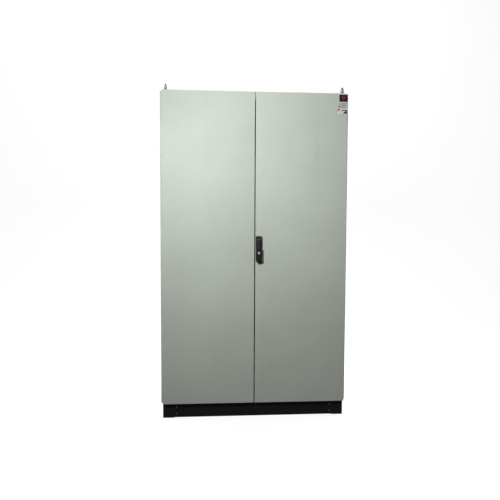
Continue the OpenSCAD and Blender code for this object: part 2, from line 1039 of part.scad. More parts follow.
// moulded case circuit breaker
module breaker_body() {
  y = plate_y - 100;
  color(c_plastic)
    difference() {
      union() {
        bx([sw_x - 70, y + 12, brk_z0], [sw_x + 70, plate_y, brk_z0 + 270]);
        bx([sw_x - 70, y, brk_z0 + 70], [sw_x + 70, y + 13, brk_z0 + 200]);
      }
      for (i = [-1:1])
        for (z = [brk_z0 - 1, brk_z0 + 238])
          bx([sw_x + i * 46 - 17, y + 20, z], [sw_x + i * 46 + 17, y + 62, z + 33]);
      bx([sw_x - 22, y - 1, brk_z0 + 96], [sw_x + 22, y + 34, brk_z0 + 174]);
    }
}

brk_py = plate_y - 76;
brk_pz = brk_z0 + 135;

// switching lever of the breaker, turning about X in its pocket
module breaker_toggle() {
  color(c_rubber)
    translate([sw_x, brk_py, brk_pz])
      rotate([-25, 0, 0]) {
        cyl_x(-21, 0, 0, 9, 42);
        bx([-14, -48, -5], [14, 0, 5]);
        bx([-18, -50, -7], [18, -44, 7]);
      }
}

con_z0 = z0 + 1170;

// three-pole contactor under the breaker
module contactor() {
  y = plate_y - 150;
  color(c_plastic)
    difference() {
      union() {
        bx([sw_x - 80, y + 60, con_z0 + 10], [sw_x + 80, plate_y, con_z0 + 170]);
        bx([sw_x - 72, y + 20, con_z0 + 35], [sw_x + 72, y + 61, con_z0 + 145]);
        bx([sw_x - 40, y, con_z0 + 50], [sw_x + 40, y + 21, con_z0 + 130]);
        for (i = [-1:1])
          bx([sw_x + i * 50 - 14, y + 78, con_z0], [sw_x + i * 50 + 14, y + 84, con_z0 + 180]);
      }
      for (i = [-1:1])
        for (z = [con_z0 + 10, con_z0 + 150])
          bx([sw_x + i * 50 - 20, y + 59, z - 1], [sw_x + i * 50 + 20, y + 78, z + 21]);
    }
}

// bars from the breaker to the contactor and the earth bar
module copper_bars() {
  y = plate_y - 72;
  color(c_copper) {
    for (i = [-1:1]) {
      bx([sw_x + i * 46 - 10, y, brk_z0 - 24], [sw_x + i * 46 + 10, y + 4, brk_z0 + 28]);
      bx([sw_x + i * 50 - 10, y - 5, con_z0 + 155], [sw_x + i * 50 + 10, y, brk_z0 - 4]);
      cyl_y(sw_x + i * 48, y - 9, brk_z0 - 14, 5, 5);
    }
    bx([80, plate_y - 12, plate_z0 + 20], [440, plate_y - 7, plate_z0 + 45]);
    for (x = [100, 420])
      cyl_y(x, plate_y - 7.5, plate_z0 + 32.5, 8, 7.5);
    for (i = [0:11])
      cyl_y(124 + i * 25, plate_y - 18, plate_z0 + 32.5, 5, 7);
  }
}

rail_zs = [z0 + 1560, z0 + 1330, z0 + 1100, z0 + 870];
rail_x0 = 222;
rail_x1 = 450;

// hat-profile rails for the small switchgear
module din_rails() {
  color(c_zinc)
    for (z = rail_zs) {
      bx([rail_x0, plate_y - 1, z - 12.5], [rail_x1, plate_y, z + 12.5]);
      for (k = [-12.5, 11.5])
        bx([rail_x0, plate_y - 7.5, z + k], [rail_x1, plate_y - 0.5, z + k + 1]);
      bx([rail_x0, plate_y - 7.5, z - 17.5], [rail_x1, plate_y - 6.5, z - 11.6]);
      bx([rail_x0, plate_y - 7.5, z + 11.6], [rail_x1, plate_y - 6.5, z + 17.5]);
    }
}

// one stepped module clipped to a rail
module rail_module(x, z, w, h, d) {
  y = plate_y - 7.5;
  bx([x, y - d * 0.72, z - h / 2], [x + w, y, z + h / 2]);
  bx([x, y - d, z - h / 4], [x + w, y - d * 0.7, z + h / 4]);
}

module control_gear() {
  color(c_light) {
    for (i = [0:5])
      rail_module(rail_x0 + 6 + i * 18.2, rail_zs[0], 17.6, 84, 62);
    rail_module(rail_x0 + 126, rail_zs[0], 46, 84, 62);
    rail_module(rail_x0 + 176, rail_zs[0], 46, 84, 62);
    rail_module(rail_x0 + 8, rail_zs[1], 62, 125, 98);
    rail_module(rail_x0 + 78, rail_zs[1], 40, 110, 90);
    for (i = [0:5])
      rail_module(rail_x0 + 124 + i * 15, rail_zs[1], 14.2, 96, 70);
  }
}

// rows of rail terminals
module terminal_blocks() {
  color(c_light)
    for (z = [rail_zs[2], rail_zs[3]]) {
      for (i = [0:29])
        translate([rail_x0 + 12 + i * 6.6, 0, z])
          bx([0, plate_y - 47, -26], [5.8, plate_y - 7.5, 26]);
      bx([rail_x0 + 12, plate_y - 50, z - 10], [rail_x0 + 209.2, plate_y - 46, z + 10]);
      for (x = [rail_x0 + 2, rail_x0 + 211])
        bx([x, plate_y - 52, z - 28], [x + 9, plate_y - 7.5, z + 28]);
    }
}

// slotted wiring duct with lid
module duct_v(x, za, zb) {
  difference() {
    bx([x, plate_y - 60, za], [x + 38, plate_y, zb]);
    bx([x + 1.5, plate_y - 58.5, za - 1], [x + 36.5, plate_y - 1.5, zb + 1]);
  }
}

module duct_h(xa, xb, z) {
  difference() {
    bx([xa, plate_y - 60, z], [xb, plate_y, z + 38]);
    bx([xa - 1, plate_y - 58.5, z + 1.5], [xb + 1, plate_y - 1.5, z + 36.5]);
  }
}

module wire_ducts() {
  color(c_light) {
    duct_v(-48, plate_z0 + 60, plate_z1 - 20);
    duct_v(456, plate_z0 + 60, plate_z1 - 130);
    for (z = [1426, 1196, 966, 726])
      duct_h(205, 454, z0 + z);
  }
}

// ---------------------------------------------------------------- reactors and cables

// line reactor on the right, output reactor on the left
react_x = [-230, 230];
rz = z0 + 77;
coil_xs = [-100, 0, 100];

module reactor_cores() {
  color(c_steel)
    for (x = react_x)
      translate([x, eq_y, rz]) {
        for (z = [10, 196])
          bx([-150, 45, z], [150, 105, z + 50]);
        for (c = coil_xs)
          bx([c - 25, 45, 60], [c + 25, 105, 196]);
        for (y = [39, 105]) {
          bx([-156, y, 10], [156, y + 6, 58]);
          bx([-156, y, 198], [156, y + 6, 246]);
        }
        bx([-156, 14, 0], [156, 136, 4]);
        for (y = [39, 105])
          bx([-156, y, 4], [156, y + 6, 10]);
        for (c = [-140, -50, 50, 140])
          for (z = [34, 222])
            cyl_y(c, 31, z, 6, 88);
      }
}

module reactor_coils() {
  color(c_copper)
    for (x = react_x)
      translate([x, eq_y, rz])
        for (c = coil_xs) {
          difference() {
            bx([c - 46, 20, 64], [c + 46, 130, 193]);
            bx([c - 27, 43, 63], [c + 27, 107, 194]);
            bx([c - 47, 38, 192], [c + 47, 112, 194]);
          }
          bx([c - 9, (x > 0) ? -32 : 12, 193], [c + 9, 36, 197]);
          bx([c - 9, 114, 193], [c + 9, 142, 197]);
        }
}

cable_r = 8;
bend_r = 22;
cable_in_x = [-440, -405, -370];
cable_in_y = eq_y - 20;
cable_out_x = [-330, -230, -130];
cable_out_y = eq_y + 25;

module elbow(x, y, z, a) {
  translate([x, y, z])
    rotate([90, 0, 0])
      rotate([0, 0, a])
        rotate_extrude(angle = 90)
          translate([bend_r, 0])
            circle(r = cable_r);
}

// cable down from za at xa, across at height h, down to zb at xb
module cable(xa, xb, y, za, h, zb) {
  cyl_z(xa, y, h + bend_r, cable_r, za - h - bend_r);
  elbow(xa + bend_r, y, h + bend_r, 180);
  cyl_x(xa + bend_r, y, h, cable_r, xb - xa - 2 * bend_r);
  elbow(xb - bend_r, y, h - bend_r, 0);
  cyl_z(xb, y, zb, cable_r, h - bend_r - zb);
}

module power_cables() {
  tab = rz + 197;
  color(c_rubber)
    for (i = [0:2]) {
      cable(sw_x - 50 + i * 50, react_x[1] + coil_xs[i], eq_y + 125, con_z0 + 14, z0 + 480 + i * 35, tab);
      cable(cable_in_x[i], react_x[1] + coil_xs[i], cable_in_y, dz0 + 32, z0 + 370 + i * 35, tab);
      cyl_z(cable_out_x[i], cable_out_y, tab, cable_r, dz0 + 40 - tab);
    }
}

// ---------------------------------------------------------------- rear fan and exhaust

// housings in the rear panel with their filter mats
module filter_housings() {
  ya = rear - 52;
  color(c_plastic) {
    difference() {
      union() {
        bx([fan_x - 102, ya, fan_z - 102], [fan_x + 102, rear, fan_z + 102]);
        bx([fan_x - 116, rear - 5, fan_z - 116], [fan_x + 116, rear - 1.6, fan_z + 116]);
      }
      cyl_y(fan_x, ya - 1, fan_z, 92, 40);
      bx([fan_x - 99, ya + 37, fan_z - 99], [fan_x + 99, rear + 1, fan_z + 99]);
    }
    cyl_y(fan_x, ya + 0.6, fan_z, 30, 4.2);
    for (a = [0:72:288])
      translate([fan_x, ya + 0.8, fan_z])
        rotate([0, a + 12, 0])
          bx([26, 0, -4], [96, 3.8, 4]);
    difference() {
      union() {
        bx([vent_x - 102, rear - 22, vent_z - 102], [vent_x + 102, rear, vent_z + 102]);
        bx([vent_x - 116, rear - 5, vent_z - 116], [vent_x + 116, rear - 1.6, vent_z + 116]);
      }
      bx([vent_x - 92, rear - 23, vent_z - 92], [vent_x + 92, rear + 1, vent_z + 92]);
      bx([vent_x - 99, rear - 15, vent_z - 99], [vent_x + 99, rear + 1, vent_z + 99]);
    }
  }
  color([0.85, 0.85, 0.80]) {
    bx([fan_x - 98.5, rear - 13, fan_z - 98.5], [fan_x + 98.5, rear - 2, fan_z + 98.5]);
    bx([vent_x - 98.5, rear - 13, vent_z - 98.5], [vent_x + 98.5, rear - 2, vent_z + 98.5]);
  }
}

// louvred covers outside the rear panel
module grille(x, z) {
  difference() {
    bx([x - 125, rear, z - 125], [x + 125, rear + 12, z + 125]);
    bx([x - 100, rear - 1, z - 100], [x + 100, rear + 13, z + 100]);
  }
  for (i = [0:10])
    translate([x, rear + 6, z - 91 + i * 18])
      rotate([-35, 0, 0])
        bx([-100.5, -7, -1], [100.5, 6, 1]);
}

module filter_grilles() {
  color(c_light) {
    grille(fan_x, fan_z);
    grille(vent_x, vent_z);
  }
}

module filter_fan_rotor() {
  color(c_rubber)
    translate([fan_x, rear - 46.5, fan_z])
      rotate([-90, 0, 0])
        fan_wheel(32, 88, 26, 7);
}

plinth_corners();
plinth_trims();
frame_posts();
frame_rails();
centre_post();
inner_rails();
roof_panel();
left_side_panel();
right_side_panel();
rear_panel();
gland_plates();
cable_glands();
cabinet_screws();
lifting_eyes();
hinge_brackets();
hinge_pins();
rod_keepers();
mounting_plate();
drive_chassis();
drive_cover();
drive_keypad();
heatsink();
igbt_modules();
dc_capacitors();
control_board();
drive_fan_frame();
drive_fan_rotor();
breaker_body();
breaker_toggle();
contactor();
copper_bars();
din_rails();
control_gear();
terminal_blocks();
wire_ducts();
reactor_cores();
reactor_coils();
power_cables();
filter_housings();
filter_grilles();
filter_fan_rotor();
left_door();
left_door_stiffener();
left_door_gasket();
left_hinge_leaves();
left_lock_case();
left_lock_lever();
left_upper_rod();
left_lower_rod();
right_door();
right_door_stiffener();
right_door_gasket();
right_hinge_leaves();
right_lock_case();
handle_base();
handle_hub();
handle_lever();
key_cylinder();
right_upper_rod();
right_lower_rod();
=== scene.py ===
"""Looks for a two-door drive cabinet: materials, rounded sheet metal, fittings, labels, camera and light."""

import json
import math
from itertools import product

import bmesh
import bpy
from mathutils import Matrix, Vector


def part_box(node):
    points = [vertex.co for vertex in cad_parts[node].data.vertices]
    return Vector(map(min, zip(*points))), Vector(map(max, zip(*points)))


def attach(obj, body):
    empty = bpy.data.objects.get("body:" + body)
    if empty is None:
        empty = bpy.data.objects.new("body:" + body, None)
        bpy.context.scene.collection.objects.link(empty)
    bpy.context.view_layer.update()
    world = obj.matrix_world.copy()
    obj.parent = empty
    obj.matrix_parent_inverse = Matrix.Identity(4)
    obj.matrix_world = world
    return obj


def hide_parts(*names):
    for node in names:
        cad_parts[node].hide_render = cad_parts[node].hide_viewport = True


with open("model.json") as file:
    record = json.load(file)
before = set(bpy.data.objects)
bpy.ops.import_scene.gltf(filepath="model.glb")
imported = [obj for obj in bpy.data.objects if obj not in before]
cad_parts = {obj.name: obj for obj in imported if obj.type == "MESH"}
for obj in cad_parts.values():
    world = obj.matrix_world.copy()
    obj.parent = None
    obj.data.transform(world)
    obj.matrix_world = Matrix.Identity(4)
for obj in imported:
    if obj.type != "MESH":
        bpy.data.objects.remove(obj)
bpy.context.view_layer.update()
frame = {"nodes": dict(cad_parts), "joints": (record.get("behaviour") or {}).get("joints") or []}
nodes = frame["nodes"]
MM = 0.001

# ------------------------------------------------------------------ materials


def linear(rgb):
    """Linear colour from a screen colour of 0 to 255."""
    channels = [channel / 255 for channel in rgb]
    return (*(c / 12.92 if c <= 0.04045 else ((c + 0.055) / 1.055) ** 2.4 for c in channels), 1.0)


class Shader:
    """A Principled material whose colour, roughness and bump come from procedural nodes."""

    def __init__(self, name, metallic=0.0, roughness=0.5, specular=0.5):
        self.mat = bpy.data.materials.new(name)
        self.mat.use_nodes = True
        self.tree = self.mat.node_tree
        self.tree.nodes.clear()
        out = self.new("OutputMaterial")
        self.bsdf = self.new("BsdfPrincipled", Metallic=metallic, Roughness=roughness,
                             Specular_IOR_Level=specular)
        self.join(self.bsdf.outputs[0], out.inputs[0])
        self.place = self.new("TexCoord").outputs["Object"]
        self.last_normal = None

    def new(self, kind, **values):
        """A node with its input values; an underscore in an input's name stands for a space."""
        node = self.tree.nodes.new("ShaderNode" + kind)
        for name, value in values.items():
            node.inputs[name.replace("_", " ")].default_value = value
        return node

    def join(self, a, b):
        self.tree.links.new(a, b)

    def placed(self, node, stretch=None):
        """Joins a texture node to the object coordinates, each axis scaled by stretch."""
        spot = self.place
        if stretch:
            mapping = self.new("Mapping", Scale=stretch)
            self.join(spot, mapping.inputs["Vector"])
            spot = mapping.outputs[0]
        self.join(spot, node.inputs["Vector"])
        return node

    def noise(self, scale, detail=4.0, rough=0.55, stretch=None):
        node = self.new("TexNoise", Scale=scale, Detail=detail, Roughness=rough)
        return self.placed(node, stretch).outputs["Fac"]

    def cells(self, scale, output="Distance"):
        return self.placed(self.new("TexVoronoi", Scale=scale)).outputs[output]

    def waves(self, scale, direction):
        node = self.placed(self.new("TexWave", Scale=scale))
        node.bands_direction = direction
        return node.outputs["Fac"]

    def edges(self):
        """1 on convex edges and 0 elsewhere."""
        return self.remap(self.new("NewGeometry").outputs["Pointiness"], 0.51, 0.58, 0.0, 1.0)

    def remap(self, value, a, b, c, d):
        """A value's range from a to b read as c to d."""
        node = self.new("MapRange", From_Min=a, From_Max=b, To_Min=c, To_Max=d)
        self.join(value, node.inputs["Value"])
        return node.outputs["Result"]

    def times(self, a, b):
        node = self.new("Math")
        node.operation = "MULTIPLY"
        self.join(a, node.inputs[0])
        if isinstance(b, float):
            node.inputs[1].default_value = b
        else:
            self.join(b, node.inputs[1])
        return node.outputs[0]

    def mix(self, fac, a, b):
        """Colour a where fac is 0, colour b where it is 1. a and b are colours or sockets."""
        node = self.new("Mix")
        node.data_type = "RGBA"
        self.join(fac, node.inputs["Factor"])
        for socket, value in ((node.inputs[6], a), (node.inputs[7], b)):
            if isinstance(value, tuple):
                socket.default_value = value
            else:
                self.join(value, socket)
        return node.outputs[2]

    def patches(self, colour, over, amount, low, high, *noise, stretch=None):
        """The colour with another mixed in by up to an amount, where a noise goes from low to high."""
        return self.mix(self.remap(self.noise(*noise, stretch=stretch), low, high, 0.0, amount), colour, over)

    def finish(self, colour, pattern, low, high):
        """Joins the colour, and a roughness that goes from low to high with a pattern."""
        self.join(colour, self.bsdf.inputs["Base Color"])
        self.join(self.remap(pattern, 0.3, 0.7, low, high), self.bsdf.inputs["Roughness"])

    def bump(self, height, strength, distance):
        """Adds a relief, its distance in metres, on top of the one before."""
        node = self.new("Bump", Strength=strength, Distance=distance)
        self.join(height, node.inputs["Height"])
        if self.last_normal:
            self.join(self.last_normal, node.inputs["Normal"])
        self.last_normal = node.outputs[0]
        self.join(self.last_normal, self.bsdf.inputs["Normal"])


def scaled(rgba, k):
    """A colour made lighter or darker."""
    return (*(min(channel * k, 1.0) for channel in rgba[:3]), 1.0)


def powder_coat(name, rgb, roughness=0.42, grain=900.0, dirt=0.10, wear=0.25):
    """Textured paint: fine orange peel, faint clouding, upright smears, specks and paler worn edges."""
    s = Shader(name, roughness=roughness, specular=0.45)
    base = linear(rgb)
    dull, clean = scaled(base, 1.0 - dirt * 0.5), scaled(base, 1.0 + dirt * 0.25)
    colour = s.patches(dull, clean, 1.0, 0.35, 0.65, 2.3, 5.0)
    upright = (1.0, 1.0, 0.18)
    colour = s.patches(colour, scaled(base, 0.62), dirt * 1.6, 0.56, 0.78, 9.0, 6.0, 0.7, stretch=upright)
    colour = s.patches(colour, scaled(base, 0.80), 0.35, 0.66, 0.78, 420.0, 2.0, 0.6)
    worn = s.times(s.edges(), s.remap(s.noise(60.0, 5.0), 0.42, 0.62, 0.0, wear))
    colour = s.mix(worn, colour, scaled(base, 1.18))
    s.finish(colour, s.noise(14.0, 6.0), roughness, roughness + 0.05)
    s.bump(s.noise(grain, 3.0, 0.6), 0.22, 0.0006)
    s.bump(s.noise(3.0, 2.0), 0.02, 0.004)
    return s.mat


def zinc_plate(name, rgb=(176, 178, 180), roughness=0.34, spangle=55.0, along=(1.0, 1.0, 0.05)):
    """Galvanised or zinc-plated steel: crystals, rolling lines, dull patches, bright edges."""
    s = Shader(name, metallic=0.92, roughness=roughness)
    base = linear(rgb)
    crystal = s.cells(spangle, output="Color")
    gray = s.new("RGBToBW")
    s.join(crystal, gray.inputs[0])
    colour = s.mix(gray.outputs[0], scaled(base, 0.88), scaled(base, 1.08))
    colour = s.patches(colour, linear((128, 128, 124)), 0.38, 0.5, 0.72, 7.0, 6.0, 0.65)
    colour = s.mix(s.times(s.edges(), 0.5), colour, scaled(base, 1.3))
    lines = s.noise(900.0, 3.0, 0.6, stretch=along)
    s.finish(colour, lines, roughness - 0.03, roughness + 0.05)
    s.bump(lines, 0.05, 0.0003)
    return s.mat


def bright_metal(name, rgb, roughness=0.25, along=(1.0, 1.0, 0.06), metallic=1.0, tarnish=None):
    """Turned, drawn or cast metal with fine lines and light handling marks."""
    s = Shader(name, metallic=metallic, roughness=roughness)
    base = linear(rgb)
    dull = linear(tarnish) if tarnish else scaled(base, 0.72)
    colour = s.patches(base, dull, 0.5, 0.42, 0.70, 18.0, 6.0, 0.65)
    colour = s.mix(s.times(s.edges(), 0.5), colour, scaled(base, 1.25))
    lines = s.noise(1100.0, 3.0, 0.6, stretch=along)
    s.finish(colour, lines, roughness - 0.04, roughness + 0.06)
    s.bump(lines, 0.05, 0.0003)
    return s.mat


def moulded(name, rgb, roughness=0.45, grain=1500.0, dust=0.12, specular=0.5):
    """Moulded plastic: fine erosion grain, a thin film of dust, slightly polished edges."""
    s = Shader(name, roughness=roughness, specular=specular)
    base = linear(rgb)
    colour = s.patches(scaled(base, 0.94), scaled(base, 1.06), 1.0, 0.35, 0.65, 6.0, 5.0)
    colour = s.patches(colour, linear((150, 148, 142)), dust, 0.5, 0.8, 35.0, 6.0, 0.7)
    colour = s.mix(s.times(s.edges(), 0.35), colour, scaled(base, 1.45))
    s.finish(colour, s.noise(50.0, 5.0), roughness - 0.07, roughness + 0.12)
    s.bump(s.cells(grain), 0.16, 0.0003)
    return s.mat


def foam(name, rgb):
    """Closed-cell seal: matt, with small pores and a skin."""
    s = Shader(name, roughness=0.85, specular=0.25)
    base = linear(rgb)
    colour = s.patches(base, scaled(base, 1.7), 1.0, 0.35, 0.7, 30.0, 6.0)
    s.finish(colour, s.noise(90.0, 4.0), 0.75, 0.95)
    s.bump(s.cells(650.0), 0.45, 0.0006)
    return s.mat


def insulation(name, rgb):
    """Cable sheath: faint extrusion lines and dull dust."""
    s = Shader(name, roughness=0.5, specular=0.4)
    base = linear(rgb)
    colour = s.patches(base, scaled(base, 2.2), 0.5, 0.4, 0.7, 22.0, 5.0)
    s.finish(colour, s.noise(120.0, 4.0), 0.42, 0.62)
    s.bump(s.noise(600.0, 2.0), 0.15, 0.0003)
    return s.mat


def laminations(name, rgb):
    """Varnished core sheets, stacked through the depth."""
    s = Shader(name, metallic=0.35, roughness=0.5)
    base = linear(rgb)
    sheets = s.waves(320.0, "Y")
    colour = s.mix(sheets, scaled(base, 0.7), scaled(base, 1.25))
    colour = s.patches(colour, linear((92, 62, 40)), 0.5, 0.5, 0.75, 12.0, 6.0)
    s.finish(colour, s.noise(40.0, 5.0), 0.4, 0.62)
    s.bump(sheets, 0.35, 0.0004)
    return s.mat


def wound_copper(name, rgb):
    """Flat winding wire under clear varnish, turns stacked in height."""
    s = Shader(name, metallic=0.85, roughness=0.35)
    base = linear(rgb)
    turns = s.waves(70.0, "Z")
    colour = s.mix(turns, scaled(base, 0.45), base)
    colour = s.patches(colour, linear((96, 48, 26)), 0.6, 0.5, 0.75, 15.0, 6.0)
    s.finish(colour, s.noise(60.0, 5.0), 0.28, 0.5)
    s.bump(turns, 0.6, 0.0012)
    return s.mat


def printed(name, rgb, gloss=0.3):
    """Printed or engraved label foil with a faint grain and rubbed edges."""
    s = Shader(name, roughness=gloss, specular=0.5)
    base = linear(rgb)
    colour = s.patches(scaled(base, 0.93), scaled(base, 1.05), 1.0, 0.4, 0.7, 60.0, 5.0)
    s.finish(colour, s.noise(30.0, 5.0), gloss - 0.08, gloss + 0.12)
    s.bump(s.noise(900.0, 2.0), 0.08, 0.0002)
    return s.mat


M = {
    "door": powder_coat("door_paint", (205, 213, 201), roughness=0.5),
    "side": powder_coat("side_paint", (196, 202, 196)),
    "roof": powder_coat("roof_paint", (200, 205, 188)),
    "plinth": powder_coat("plinth_paint", (26, 26, 27), roughness=0.5, dirt=0.5, wear=0.6),
    "trim": powder_coat("trim_paint", (17, 17, 18), roughness=0.55, dirt=0.5, wear=0.6),
    "zinc": zinc_plate("zinc_frame"),
    "sheet": zinc_plate("zinc_sheet", (176, 178, 180), 0.52, 38.0),
    "screw": bright_metal("screw_zinc", (190, 192, 194), 0.28, (1.0, 1.0, 1.0)),
    "cast": bright_metal("cast_zinc", (168, 168, 172), 0.38, (1.0, 1.0, 0.5)),
    "nickel": bright_metal("nickel_barrel", (205, 203, 199), 0.20, (1.0, 0.1, 1.0)),
    "barrel": moulded("key_barrel_satin", (214, 208, 198), 0.3),
    # black to put painted shade in the gap between the closed doors: it stands in for the shadow deep in that
    # gap
    "post": powder_coat("centre_post_black_gap_shade", (20, 20, 20), roughness=0.5, dirt=0.3, wear=0.5),
    "steel": bright_metal("bright_steel", (160, 160, 162), 0.27),
    "forged": bright_metal("forged_steel", (158, 158, 152), 0.42, (1.0, 1.0, 1.0), 0.85, (112, 110, 98)),
    "aluminium": bright_metal("extruded_aluminium", (205, 207, 210), 0.32, (1.0, 1.0, 0.03)),
    "copper": bright_metal("bare_copper", (214, 132, 92), 0.26, (1.0, 1.0, 0.06), 1.0, (150, 82, 54)),
    "handle": moulded("handle_polyamide", (11, 13, 16), 0.44, 2200.0, 0.05),
    # dark olive plastic whose tone is partly painted shadow: the lever's shadow on the plate's right strip is
    # taken into its colour
    "handle_base": moulded("handle_base_plastic_and_painted_shadow", (74, 71, 56), 0.55, 2200.0, 0.10),
    "black": moulded("black_plastic", (24, 24, 25), 0.5),
    "dark": moulded("dark_grey_plastic", (58, 61, 65), 0.5),
    "keypad": moulded("keypad_plastic", (44, 48, 54), 0.42),
    "light": moulded("light_grey_plastic", (196, 198, 196), 0.45),
    "cover": moulded("drive_cover_plastic", (202, 204, 205), 0.42),
    "duct": moulded("duct_plastic", (158, 161, 163), 0.5),
    "blue_plastic": moulded("blue_plastic", (34, 70, 138), 0.4),
    "green_plastic": moulded("green_plastic", (38, 110, 58), 0.4),
    "red_plastic": moulded("red_plastic", (176, 30, 26), 0.35),
    "drive_paint": powder_coat("drive_paint", (150, 153, 156), 0.42),
    "board": moulded("circuit_board", (24, 92, 48), 0.3),
    "sleeve": moulded("capacitor_sleeve", (28, 44, 84), 0.25),
    "foam": foam("seal_foam", (26, 26, 26)),
    "cable": insulation("cable_sheath", (26, 26, 27)),
    "core": laminations("core_sheets", (70, 74, 82)),
    "winding": wound_copper("copper_winding", (200, 112, 66)),
    "label_black": printed("label_black", (20, 20, 21)),
    "label_silver": printed("label_silver", (192, 197, 196), 0.25),
    "label_white": printed("label_white", (228, 230, 226)),
    "label_grey": printed("label_grey", (120, 124, 128)),
    "label_orange": printed("label_orange", (216, 96, 30)),
    "label_green": printed("label_green", (28, 92, 52)),
    "label_red": printed("label_red", (186, 46, 40)),
    "screen": printed("display_glass", (38, 52, 48), 0.12),
}

# ------------------------------------------------------------------ mesh helpers


def finish_mesh(obj, angle=35.0):
    """Smooth shading with sharp edges above the angle."""
    mesh = obj.data
    mesh.polygons.foreach_set("use_smooth", [True] * len(mesh.polygons))
    mesh.set_sharp_from_angle(angle=math.radians(angle))


def add_object(name, data):
    """Puts a mesh, lamp or camera into the scene."""
    obj = bpy.data.objects.new(name, data)
    bpy.context.scene.collection.objects.link(obj)
    return obj


def made_object(name, bm, outward=True):
    """An object from a bmesh, which is used up, with its faces turned outward."""
    if outward:
        bmesh.ops.recalc_face_normals(bm, faces=bm.faces)
    mesh = bpy.data.meshes.new(name)
    bm.to_mesh(mesh)
    bm.free()
    return add_object(name, mesh)


def piece(name, bm, mat, body="cabinet", instead_of=(), angle=35.0):
    """Makes a visible piece from a bmesh. mat is one key of M, or several for faces with an index."""
    obj = made_object(name, bm)
    for key in [mat] if isinstance(mat, str) else mat:
        obj.data.materials.append(M[key])
    finish_mesh(obj, angle)
    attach(obj, body)
    if instead_of:
        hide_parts(*([instead_of] if isinstance(instead_of, str) else instead_of))
    return obj


def dress(node, mat, bevel=0.6, segments=2, angle=35.0):
    """Gives a CAD node its material and breaks its sharp edges."""
    obj = nodes[node]
    obj.data.materials.clear()
    obj.data.materials.append(M[mat])
    weld = obj.modifiers.new("weld", "WELD")
    weld.merge_threshold = 0.00001
    finish_mesh(obj, angle)
    soften(obj, bevel, segments)


def paint(faces, mat):
    """Gives faces the index of their material in the piece's list."""
    for f in faces:
        f.material_index = mat


def add_box(bm, lo, hi, bevel=0.0, segments=2, mat=0):
    """A box between two corners, in mm, with rounded edges."""
    made = bmesh.ops.create_cube(bm, size=1.0)
    verts = made["verts"]
    for v in verts:
        v.co = Vector(((lo[i] + (v.co[i] + 0.5) * (hi[i] - lo[i])) * MM for i in range(3)))
    paint([f for v in verts for f in v.link_faces], mat)
    if bevel > 0:
        # a dict, not a set, so that the edges come in the same order in each run
        edges = dict.fromkeys(e for v in verts for e in v.link_edges)
        result = bmesh.ops.bevel(bm, geom=list(edges), offset=bevel * MM, segments=segments, profile=0.5,
                                 affect="EDGES", clamp_overlap=True)
        paint(result["faces"], mat)


def frame_of(axis):
    """Matrix whose Z column is the axis: x, y or z, and -x or -y for the way back."""
    degrees, about = {"z": (0, "X"), "x": (90, "Y"), "-x": (-90, "Y"), "y": (-90, "X"), "-y": (90, "X")}[axis]
    return Matrix.Rotation(math.radians(degrees), 4, about)


def add_lathe(bm, profile, at, axis="z", sides=32, mat=0):
    """Turns a profile of (radius, height) points, in mm, about an axis through a point."""
    place = Matrix.Translation(Vector(at) * MM) @ frame_of(axis)
    rings = []
    for radius, height in profile:
        if radius < 1e-6:
            rings.append([bm.verts.new(place @ Vector((0, 0, height * MM)))])
            continue
        ring = []
        for i in range(sides):
            a = 2 * math.pi * i / sides
            spot = Vector((radius * math.cos(a), radius * math.sin(a), height)) * MM
            ring.append(bm.verts.new(place @ spot))
        rings.append(ring)
    made = []
    for a, b in zip(rings, rings[1:]):
        for i in range(sides):
            j = (i + 1) % sides
            if len(a) == 1 and len(b) == 1:
                continue
            if len(a) == 1:
                made.append(bm.faces.new((a[0], b[i], b[j])))
            elif len(b) == 1:
                made.append(bm.faces.new((a[i], b[0], a[j])))
            else:
                made.append(bm.faces.new((a[i], b[i], b[j], a[j])))
    paint(made, mat)


def rounded_profile(r, h, edge=0.8, base=0.0):
    """Lathe profile of a disc or pin with a rounded top rim, closed at both ends."""
    return [(0.0, base), (r, base)] + arc(r - edge, base + h - edge, edge, 0, 90, 3) + [(0.0, base + h)]


def laid(outline, level, axis="y"):
    """Points in metres of an outline in mm. Axis y reads (x, z), axis z reads (x, y), axis x reads (y, z)."""
    spots = {
        "x": lambda a, b: (level, a, b),
        "y": lambda a, b: (a, level, b),
        "z": lambda a, b: (a, b, level),
    }
    return [Vector(spots[axis](a, b)) * MM for a, b in outline]


def add_disc(bm, r, low, high, at, axis="y", sides=32):
    """A plain cylinder between two heights along an axis through a point."""
    add_lathe(bm, [(0, low), (r, low), (r, high), (0, high)], at, axis, sides)


def add_stud(bm, shape, at, sides, mat):
    """A round button, lamp or screw facing the front. shape is (radius, height, rim, foot)."""
    add_lathe(bm, rounded_profile(*shape), at, "-y", sides, mat)


def add_prism(bm, outline, lo, hi, axis="y", mat=0):
    """Extrudes a closed outline, in mm, between two levels on an axis."""
    low = [bm.verts.new(p) for p in laid(outline, lo, axis)]
    high = [bm.verts.new(p) for p in laid(outline, hi, axis)]
    made = [bm.faces.new(low), bm.faces.new(high[::-1])]
    for i in range(len(outline)):
        j = (i + 1) % len(outline)
        made.append(bm.faces.new((low[i], high[i], high[j], low[j])))
    paint(made, mat)


def add_rings(bm, rings, mat=0, loop=False):
    """Skins rows of points that all have the same length, in metres, with capped ends unless they loop."""
    rows = [[bm.verts.new(p) for p in ring] for ring in rings]
    made = []
    pairs = list(zip(rows, rows[1:]))
    if loop:
        pairs.append((rows[-1], rows[0]))
    for a, b in pairs:
        for i in range(len(a)):
            j = (i + 1) % len(a)
            made.append(bm.faces.new((a[i], a[j], b[j], b[i])))
    if not loop:
        made += [bm.faces.new(rows[0][::-1]), bm.faces.new(rows[-1])]
    paint(made, mat)


def skin_rows(bm, rows):
    """Joins pairs of vertices, each to the next pair, with flat faces."""
    for a, b in zip(rows, rows[1:]):
        bm.faces.new((a[0], a[1], b[1], b[0]))


def arc(cx, cz, r, start, end, steps):
    """Points on an arc between two angles in degrees."""
    angles = [math.radians(start + (end - start) * i / steps) for i in range(steps + 1)]
    return [(cx + r * math.cos(a), cz + r * math.sin(a)) for a in angles]


